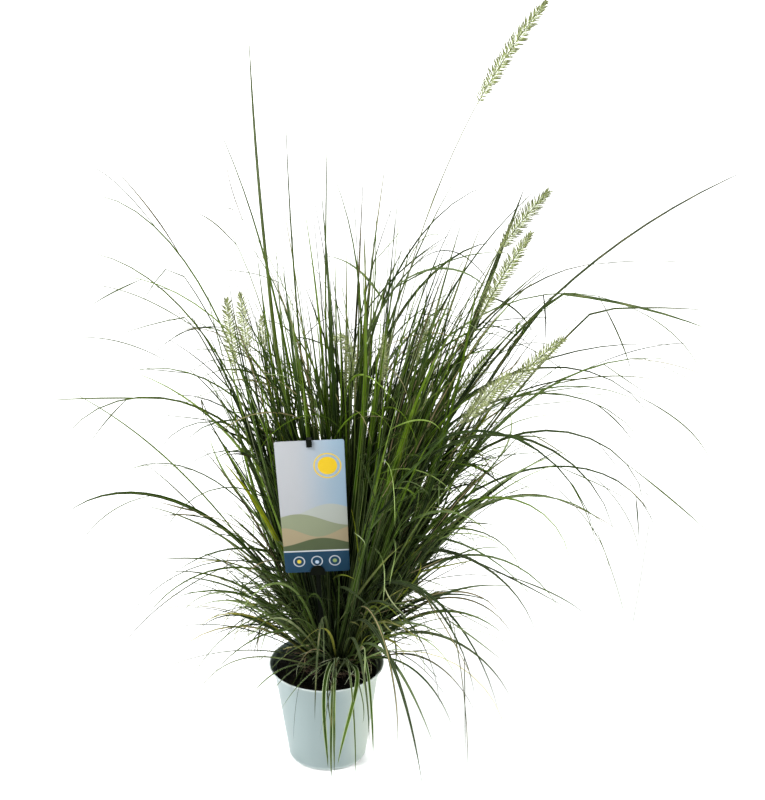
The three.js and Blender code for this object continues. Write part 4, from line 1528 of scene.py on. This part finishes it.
def make_roots(material):
    """Fine roots that wander over the peat beside the crown."""
    strand = unit_rod("strand", 5, ROOT_STEPS)
    leave_edit()
    shape = shape_of(settle(strand))
    draw = make_draw(88)
    copies = []
    while len(copies) < ROOT_COUNT:
        angle = 2 * pi * draw()
        out = CROWN_RADIUS - 6 + 14 * draw()
        x, y = CROWN_X + out * cos(angle), CROWN_Y + out * sin(angle)
        heading = angle + centred(draw, 3)
        step = (8 + 22 * draw()) / ROOT_STEPS
        radius = 0.16 + 0.22 * draw() ** 2
        bend = centred(draw, 5)
        wave = 6.28 * draw()
        lift = 1.2 + 3 * draw() ** 3
        centres = []
        for i in range(ROOT_STEPS + 1):
            part = i / ROOT_STEPS
            centres.append([x, y, peat_height(x, y) + 0.5 + lift * sin(pi * part)])
            turn = heading + bend * part + 0.5 * sin(wave + 7 * part)
            x += step * cos(turn)
            y += step * sin(turn)
        if max(math.hypot(c[0], c[1]) for c in centres) > wall_radius(SOIL_LEVEL) - POT_WALL - 1.5:
            continue
        line = np.array(centres), np.gradient(centres, axis=0)
        thinner = radius * (1 - 0.6 * shape[:, 2])
        copies.append(copy_of(strand, laid_rod(shape, line, thinner, [0.01, 0.01, 1.01])))
    gather(copies, "fine_roots", 60, material, "soil", "root_ball")
    put_away(strand)


# Blades


def make_blade_master(rings):
    """A straight unit blade along Z: two edges, a groove on top and a keel below, and a point."""
    blade = unit_rod("blade", 4, rings)
    bpy.ops.mesh.merge(type="CENTER")
    bpy.ops.mesh.select_all(action="SELECT")
    bpy.ops.mesh.normals_make_consistent(inside=False)
    leave_edit()
    carry(blade, "tone", "dry")
    return blade


def leaf_taper(part, fullness):
    """How wide a leaf is along its length, as a part of its full width."""
    sheath = 0.45 + 0.55 * np.minimum(1, part / 0.3)
    return sheath * (1 - part**fullness)


def bent_places(shape, leaf, fold):
    """Places of the unit blade's points once it is bent along a leaf's middle line."""
    across, depth, part = shape.T
    points, tangents, sides = middle_line(leaf)
    centre = at_part(points, part)
    tangent = unit(at_part(tangents, part))
    turn = radians(leaf.get("twist", 0)) * (0.4 + part)
    side = turned_about(at_part(sides, part), tangent, turn)
    up = unit(np.cross(tangent, side))
    taper = leaf_taper(part, leaf.get("fullness", LEAF_FULLNESS))
    half = np.maximum(leaf["width"] / 2 * taper, FINE_TIP / 2 * (1 - part**12))
    rise = np.abs(across) * half * np.tan(np.radians(fold * (1.25 - 0.7 * part)))
    lift = rise + depth * BLADE_THICKNESS / 2 * (0.35 + 0.65 * taper)
    return centre + side * (across * half)[:, None] + up * lift[:, None]


def inner_shade(places):
    """How much darker the leaves are towards the middle of the clump's foot."""
    x, y, z = places.T
    rise = z - CROWN_TOP_HEIGHT
    room = SHADE_RADIUS + SHADE_WIDENING * np.maximum(0, rise)
    inner = np.exp(-((from_clump_middle(x, y, rise) / room) ** 2))
    return INNER_SHADE * inner / (1 + np.exp((rise - SHADE_TOP) / SHADE_FADE))


def make_leaves(master, leaves, name, material, seed, tones, dryness):
    """Bends a copy of the blade along each leaf and joins them in one piece."""
    shape = shape_of(master)
    draw = make_draw(seed)
    copies = []
    for leaf in leaves:
        fold = 14 + 26 * draw()
        tone = tones[0] + (tones[1] - tones[0]) * draw() ** 1.15
        dry = dryness * draw() ** 3
        places = bent_places(shape, leaf, fold)
        # Painted shade deep in the clump's foot, and painted light towards each leaf's tip
        tone = leaf.get("tone", tone) - inner_shade(places) + PAINTED_TIP_LIGHT * (shape[:, 2] - 0.4)
        if leaf.get("crease"):
            tone += CREASE_LIFT * (shape[:, 2] > leaf["crease_at"])
        copies.append(copy_of(master, places, tone=tone, dry=leaf.get("dry", dry)))
    gather(copies, name, 25, material, "leaf", "grass_clump")


def clear_of(leaves, stretches):
    """The leaves, bent clear where they have to be, without those that nothing would clear."""
    return list(filter(None, [bent_clear(leaf, stretches) for leaf in leaves]))


def frame_leaves():
    """The leaves and stems that the frame has, with the same roots, draws and clearances."""
    places = root_places(LEAF_COUNT)
    stems = [take_root(stem_of(row), places) for row in FLOWER_STEMS]
    stretches = head_stretches(stems)
    outline = [take_root(outline_leaf(row), places) for row in OUTLINE_LEAVES]
    draw = make_draw(LEAF_SEED)
    seeded = [seeded_leaf(place, draw) for place in places]
    return stems, stretches, clear_of(outline, stretches), clear_of(seeded, stretches)


def drawn(rule, count, seed):
    """Leaves made by a rule with seeded draws."""
    draw = make_draw(seed)
    return [rule(draw) for _ in range(count)]


def beside(kind, hosts, count, seed, stretches, fits=in_clump):
    """Leaves that part from other leaves, as far as nothing is in their way."""
    leaves = drawn(lambda draw: side_leaf(draw, hosts, kind), count, seed)
    return [leaf for leaf in leaves if fits(leaf) and runs_clear(leaf, stretches)]


# Flower stems and heads


def make_stems(stems, material):
    """Stems with six sides that narrow upwards, with a small swelling at each joint."""
    master = unit_rod("stem", 6, 30)
    leave_edit()
    shape = shape_of(settle(master))
    part = shape[:, 2]
    joints = np.exp(-(((part * 5) % 1 - 0.5) ** 2) * 400) * (part < 0.8)
    radius = 1.05 - 0.65 * part + 0.35 * joints
    copies = []
    for stem in stems:
        places = laid_rod(shape, middle_line(stem)[:2], radius, [0.0, 1.0, 0.0])
        copies.append(copy_of(master, places))
    gather(copies, "flower_stems", 60, material, "leaf", "grass_clump")
    put_away(master)


def make_spikelet_master():
    """One spikelet along Z, 1 long: a slim grain on a short stalk, and bristles as fine as hairs."""
    spikelet = filled_ring("spikelet", 5, SPIKELET_STALK)
    edit()
    for step, size in [(0.1, 1.3), (0.12, 3.2), (0.26, 1.3), (0.26, 0.68), (0.24, 0.14)]:
        extrude_by(0, 0, step)
        scale_by(size, size, 1)
    leave_edit()
    settle(spikelet)
    grain_points = len(spikelet.data.vertices)
    parts = [spikelet]
    for i in range(BRISTLES):
        long = 1.45 - 0.1 * i
        deselect()
        bpy.ops.mesh.primitive_cone_add(
            vertices=3, radius1=BRISTLE_RADIUS, depth=long, location=(0, 0, long / 2)
        )
        bristle = added("bristle")
        bpy.ops.object.transform_apply(location=True)
        bristle.rotation_euler = (radians(8 + 6 * i), 0, radians(SUNFLOWER_TURN * i))
        bpy.ops.object.transform_apply(rotation=True)
        parts.append(bristle)
    spikelet = join_copies(parts, "spikelet")
    carry(spikelet, "tone", "reach", "hair")
    reach = shape_of(spikelet)[:, 2].clip(0, 1.2)
    hair = np.arange(len(reach)) >= grain_points
    for name, values in {"reach": reach, "hair": hair}.items():
        spikelet.data.attributes[name].data.foreach_set("value", values.astype(np.float32))
    return spikelet


def plume_width(along):
    """How wide a plume is along its length: thin at the foot, full above it, narrow at the tip."""
    return min(1, 0.55 + 2.4 * max(0, along)) * (1 - 0.42 * max(0, along - 0.5) ** 2 / 0.25)


def make_plume(master, stem, index, material):
    """Spikelets set round the end of a stem by the golden angle, more of them to its sides, sparse
    at the foot and pointing forward at the tip."""
    shape = shape_of(master)
    line = middle_line(stem)
    draw = make_draw(500 + index)
    spacing, ripeness = PLUME_LOOKS[index] if index < len(PLUME_LOOKS) else (0.8, 0.25 + 0.35 * draw())
    count = int(stem["head_length"] / spacing)
    head = stem["head_length"] / stem["length"]
    copies = []
    for i in range(-SPIKELETS_BELOW, count):
        along = (i + 0.5) / count
        if along < 0.12 and draw() < 0.35 - 4 * along:
            continue
        centre, axis = spot_on(line, 1 - head * (1 - 0.975 * along))
        side, other = sides_of(axis, [0.0, 1.0, 0.0])
        turn = radians(SUNFLOWER_TURN * i + centred(draw, 30))
        turn -= 0.3 * sin(2 * turn)
        outward = side * cos(turn) + other * sin(turn)
        lean = radians(58 - 40 * max(0, along) ** 6 + centred(draw, 18))
        aim = unit(outward * sin(lean) + axis * cos(lean))
        length = stem["head_radius"] * 1.35 * plume_width(along) * (0.85 + 0.3 * draw())
        first = unit(np.cross(aim, axis + 0.01 * outward))
        turned = np.stack([first, np.cross(aim, first), aim])
        places = (shape * np.array([8, 8, length])) @ turned + centre + outward * 0.35
        copies.append(copy_of(master, places, tone=ripeness + centred(draw, 0.35)))
    number = f"{index + 1:02d}"
    gather(copies, f"flower_plume_{number}", 45, material, "head", f"flower_head_{number}")


# Card and stake


def lean_card(piece):
    """Leans a piece that was made upright in the card's axes, and puts it in its place."""
    tilt = Matrix.Rotation(radians(-CARD_TILT), 4, "Y")
    lean = Matrix.Rotation(radians(CARD_LEAN), 4, "X")
    place = Matrix.Translation(Vector((CARD_X, CARD_Y, CARD_BOTTOM)) * MM)
    piece.data.transform(place @ lean @ tilt)
    piece.data.update()


def make_card(material):
    """A thin card with round corners."""
    deselect()
    bpy.ops.mesh.primitive_plane_add(size=1)
    card = added("printed_card")
    edit()
    bpy.ops.transform.rotate(value=-pi / 2, orient_axis="X", center_override=(0, 0, 0))
    scale_by(CARD_WIDTH_BOTTOM * MM, 1, CARD_HEIGHT * MM)
    bpy.ops.transform.translate(value=(0, 0, CARD_HEIGHT / 2 * MM))
    pick(card, "VERT", lambda v: v.co.z > CARD_HEIGHT / 2 * MM)
    scale_by(CARD_WIDTH_TOP / CARD_WIDTH_BOTTOM, 1, 1)
    bpy.ops.mesh.select_all(action="SELECT")
    bpy.ops.mesh.bevel(offset=CARD_CORNER * MM, segments=8, affect="VERTICES")
    leave_edit()
    modify(card, "SOLIDIFY", thickness=CARD_THICKNESS * MM, offset=0)
    for v in card.data.vertices:
        v.co.y -= CARD_THICKNESS / 2 * MM
    settle(card)
    modify(card, "BEVEL", width=0.0002, segments=2, limit_method="ANGLE")
    uv = card.data.uv_layers["UVMap"]
    for loop in card.data.loops:
        x, _, z = card.data.vertices[loop.vertex_index].co
        uv.data[loop.index].uv = (x / (CARD_WIDTH_TOP * MM), z / (CARD_WIDTH_TOP * MM))
    lean_card(card)
    smooth(card, 35)
    fit_out(card, material, "card", "care_card")


def block(name, x0, y0, z0, x1, y1, z1):
    """A block between two corners."""
    deselect()
    middle = ((x0 + x1) / 2 * MM, (y0 + y1) / 2 * MM, (z0 + z1) / 2 * MM)
    size = ((x1 - x0) * MM, (y1 - y0) * MM, (z1 - z0) * MM)
    bpy.ops.mesh.primitive_cube_add(size=1, location=middle, scale=size)
    piece = added(name)
    bpy.ops.object.transform_apply(location=True, scale=True)
    return piece


def make_stake(material):
    """A flat pointed stake with a hook over the card's top edge and a round clip at its foot."""
    half = STAKE_WIDTH / 2
    foot = STAKE_FOOT - CARD_BOTTOM
    crest = CARD_HEIGHT + 2
    bar = block("card_stake_strip", -half, GAP, foot + STAKE_POINT, half, STAKE_DEPTH + GAP, crest)
    bpy.ops.object.mode_set(mode="EDIT")
    pick(bar, "FACE", lambda face: face.normal.z < -0.5)
    extrude_by(0, 0, -STAKE_POINT * MM)
    scale_by(0.06, 1, 1)
    leave_edit()
    front = -CARD_THICKNESS - GAP
    half = HOOK_WIDTH / 2
    top = block("hook_top", -half, front - 1.5, CARD_HEIGHT + GAP, half, GAP + 1, crest)
    lip = block("hook_lip", -half, front - 1.5, CARD_HEIGHT - HOOK_LENGTH, half, front, crest)
    shelf = block("clip_shelf", -CLIP_RADIUS, front - CLIP_THICKNESS, -3, CLIP_RADIUS, GAP + 1, -GAP)
    deselect()
    bpy.ops.mesh.primitive_cylinder_add(
        vertices=48, radius=CLIP_RADIUS * MM, depth=CLIP_THICKNESS * MM,
        location=(0, (front - CLIP_THICKNESS / 2) * MM, 0), rotation=(pi / 2, 0, 0),
    )
    clip = added("clip_disc")
    bpy.ops.object.transform_apply(location=True, rotation=True)
    edit()
    bpy.ops.mesh.bisect(plane_co=(0, 0, -3 * MM), plane_no=(0, 0, 1), clear_inner=True, use_fill=True)
    leave_edit()
    for part in (top, lip, shelf, clip):
        modify(bar, "BOOLEAN", object=part, operation="UNION", solver="EXACT")
        put_away(part)
    settle(bar)
    modify(bar, "BEVEL", width=0.0003, segments=2, limit_method="ANGLE")
    lean_card(bar)
    smooth(bar, 35)
    fit_out(bar, material, "stake", "card_stake")


# Making the pieces

make_pot(pot_material())
peat_look = peat_material()
make_peat(peat_look)
make_crumbs(peat_look)
make_crown(peat_look)
make_roots(root_material())

stems, stretches, outline, seeded = frame_leaves()
filling = clear_of(drawn(filling_leaf, 95, 31), stretches)
broad = clear_of(drawn(broad_leaf, 16, 40), stretches)
upright = clear_of(drawn(upright_leaf, 130, 41), stretches)
tall_leaves = clear_of(drawn(tall_leaf, 80, 45), stretches)
foot = clear_of(drawn(foot_leaf, 125, 42), stretches)
fine = clear_of(drawn(fine_leaf, 200, 32), stretches)
low_leaves = clear_of(drawn(low_leaf, 230, 33), stretches)
culms = clear_of(drawn(culm, 60, 36), stretches)
sheaths = drawn(dead_sheath, 260, 35)
lying = [leaf for leaf in drawn(lying_leaf, 160, 37) if stays_in_pot(leaf)]

# Leaves that part from the ones so far
hosts = [leaf for leaf in outline + seeded + filling if leaf["length"] > 260] + 2 * culms
side_leaves = beside(SIDE_LEAVES, hosts, 1000, 34, stretches)
side_leaves.sort(key=lambda leaf: leaf["start"][2])
tall = [leaf for leaf in outline + seeded + filling + fine if leaf["length"] > 360]
reaching = beside(REACHING_LEAVES, tall, 330, 38, stretches)
small_sides = beside(SMALL_SIDE_LEAVES, low_leaves + foot + culms, 1500, 43, stretches)
small_sides = [leaf for leaf in small_sides if at_sides(leaf)]
arching = [leaf for leaf in outline if leaf["length"] > 330 and leaf["droop"] > 70]
sprays = beside(SPRAYS, arching, 110, 44, stretches, in_sight)

# The frame's own leaves: pale-edged ones over the pot's front, grey low ones, and two greens
outline = [finer(leaf) for leaf in outline]
over_front = [leaf for leaf in outline if -95 < leaf["direction"] < -82 and leaf["length"] < 250]
hanging = [hanging_leaf(row) for row in HANGING_LEAVES] + over_front
others = [leaf for leaf in outline if leaf not in over_front]
low_grey = [leaf for leaf in others if hangs_low(leaf)]
others = [leaf for leaf in others if leaf not in low_grey]
long_grey = [leaf for i, leaf in enumerate(others) if leaf["length"] > 700 or i % 3 == 1]
long_fresh = [leaf for leaf in others if leaf not in long_grey]
for leaf in seeded:
    leaf["width"] *= 1.25
yellow_blade = {
    "start": np.array([-12.0, 4.0, 133.0]), "direction": 186, "lean": 78, "length": 38, "droop": 30,
    "late": 1.2, "width": 3.4, "fullness": EVEN_FULLNESS, "tone": 1.4,
}
limes = filling[:LIME_FILLING] + side_leaves[:LIME_SIDES] + small_sides[:LIME_SMALL_SIDES]
yellowing = [yellow_blade] + low_leaves[:YELLOWED_LOW]

blade = make_blade_master(BLADE_RINGS)
short_blade = make_blade_master(SHORT_BLADE_RINGS)
fresh = leaf_material("leaf_fresh_green", FRESH_GREENS, 0.42)
grey = leaf_material("leaf_grey_green", GREY_GREENS, 0.46)
edged = leaf_material("leaf_pale_edged", FRESH_GREENS, 0.42, 0.9)
yellowed = leaf_material("leaf_yellowed", YELLOWED, 0.5)
lime = leaf_material("leaf_lime_green", LIME_GREENS, 0.42)

# Each row: master, leaves, name, material, seed, least and most tone, and dryness
LEAF_PIECES = [
    (blade, long_fresh, "outer_leaves", fresh, 11, (0.1, 0.7), 0.3),
    (blade, long_grey, "outer_leaves_grey", grey, 22, (0.1, 0.6), 0.3),
    (blade, low_grey, "hanging_leaves_grey", grey, 31, (0.05, 0.4), 0.05),
    (blade, seeded, "clump_leaves", fresh, 12, (-0.1, 1.0), 0.3),
    (blade, filling[LIME_FILLING:], "filling_leaves", fresh, 13, (-0.1, 1.05), 0.35),
    (blade, fine, "fine_leaves", grey, 14, (0.0, 0.8), 0.4),
    (blade, broad, "broad_leaves", fresh, 25, (0.2, 0.75), 0.2),
    (blade, upright, "upright_leaves", fresh, 26, (0.0, 0.9), 0.2),
    (blade, tall_leaves, "tall_leaves", fresh, 30, (0.0, 0.9), 0.2),
    (blade, foot, "foot_leaves", fresh, 27, (0.0, 0.9), 0.3),
    (short_blade, reaching, "reaching_leaves", grey, 23, (0.0, 0.7), 0.3),
    (short_blade, small_sides[LIME_SMALL_SIDES:], "small_side_leaves", fresh, 28, (0.0, 0.9), 0.3),
    (short_blade, sprays, "hanging_sprays", grey, 29, (0.0, 0.6), 0.3),
    (blade, low_leaves[YELLOWED_LOW:], "low_leaves", fresh, 15, (-0.05, 0.85), 0.4),
    (blade, hanging, "hanging_leaves", edged, 19, (0.1, 0.4), 0.05),
    (short_blade, side_leaves[LIME_SIDES:], "side_leaves", fresh, 16, (-0.1, 0.95), 0.4),
    (short_blade, culms, "thin_stems", fresh, 18, (0.1, 1.1), 0.2),
    (short_blade, sheaths, "dead_sheaths", grey, 17, (0.2, 1.0), 2.0),
    (short_blade, lying, "lying_leaves", grey, 20, (0.5, 1.0), 0.9),
    (blade, limes, "lime_leaves", lime, 24, (0.0, 0.75), 0.2),
    (short_blade, yellowing, "yellowed_leaves", yellowed, 21, (0.2, 1.0), 0.3),
]
for row in LEAF_PIECES:
    make_leaves(*row)
put_away(blade)
put_away(short_blade)

make_stems(stems, stem_material())
spikelet = make_spikelet_master()
plume_look = plume_material()
for index, stem in enumerate(stems):
    make_plume(spikelet, stem, index, plume_look)
put_away(spikelet)

make_card(card_material())
make_stake(stake_material())


# Floor, light and camera


def make_floor():
    deselect()
    bpy.ops.mesh.primitive_plane_add(size=40)
    floor = added("studio_floor")
    material, tree, shader, place = new_material("studio_floor_white")
    away = node(tree, "ShaderNodeVectorMath", {0: place}, operation="LENGTH").outputs["Value"]
    feed(tree, shader, {
        "Base Color": (0.9, 0.9, 0.9, 1),
        "Roughness": 0.9,
        "Specular IOR Level": 0.0,
        "Emission Color": (1, 1, 1, 1),
        "Emission Strength": spread_of(tree, away, 1.6, 5.0),
    })
    floor.data.materials.append(material)


def make_lamp(name, place, target, size, power):
    lamp = bpy.data.lights.new(name, "AREA")
    lamp.shape = "DISK"
    lamp.size = size
    lamp.energy = power
    holder = bpy.data.objects.new(name, lamp)
    holder.location = place
    aim = Vector(target) - Vector(place)
    holder.rotation_euler = aim.to_track_quat("-Z", "Y").to_euler()
    bpy.context.collection.objects.link(holder)


def make_sky():
    world = bpy.data.worlds.new("studio_sky")
    world.use_nodes = True
    tree = world.node_tree
    seen = tree.nodes.new("ShaderNodeLightPath").outputs["Is Camera Ray"]
    strength = spread_of(tree, seen, 0.0, 1.0, 0.34, 1.1)
    feed(tree, tree.nodes["Background"], {"Color": (0.97, 0.98, 1.0, 1), "Strength": strength})
    bpy.context.scene.world = world


def make_camera():
    camera = bpy.data.objects.new("camera", bpy.data.cameras.new("camera"))
    camera.data.lens = 80
    camera.data.sensor_width = 36
    camera.location = (0.063, -1.750, 1.142)
    camera.rotation_euler = (radians(68), 0, 0)
    camera.data.clip_start = 0.05
    camera.data.clip_end = 30
    bpy.context.collection.objects.link(camera)
    bpy.context.scene.camera = camera


make_floor()
make_lamp("key_light", (-4.0, -2.2, 4.6), (0.05, 0, 0.3), 1.8, 430)
make_lamp("fill_light", (4.4, -1.0, 3.4), (0.05, 0, 0.3), 2.2, 210)
make_lamp("back_light", (0.8, 4.2, 5.4), (0.05, 0, 0.3), 3.0, 260)
make_lamp("floor_light", (0.0, 8.5, 6.5), (0.0, 7.5, 0.0), 4.0, 420)
make_sky()
make_camera()
bpy.context.scene.view_settings.view_transform = "Standard"
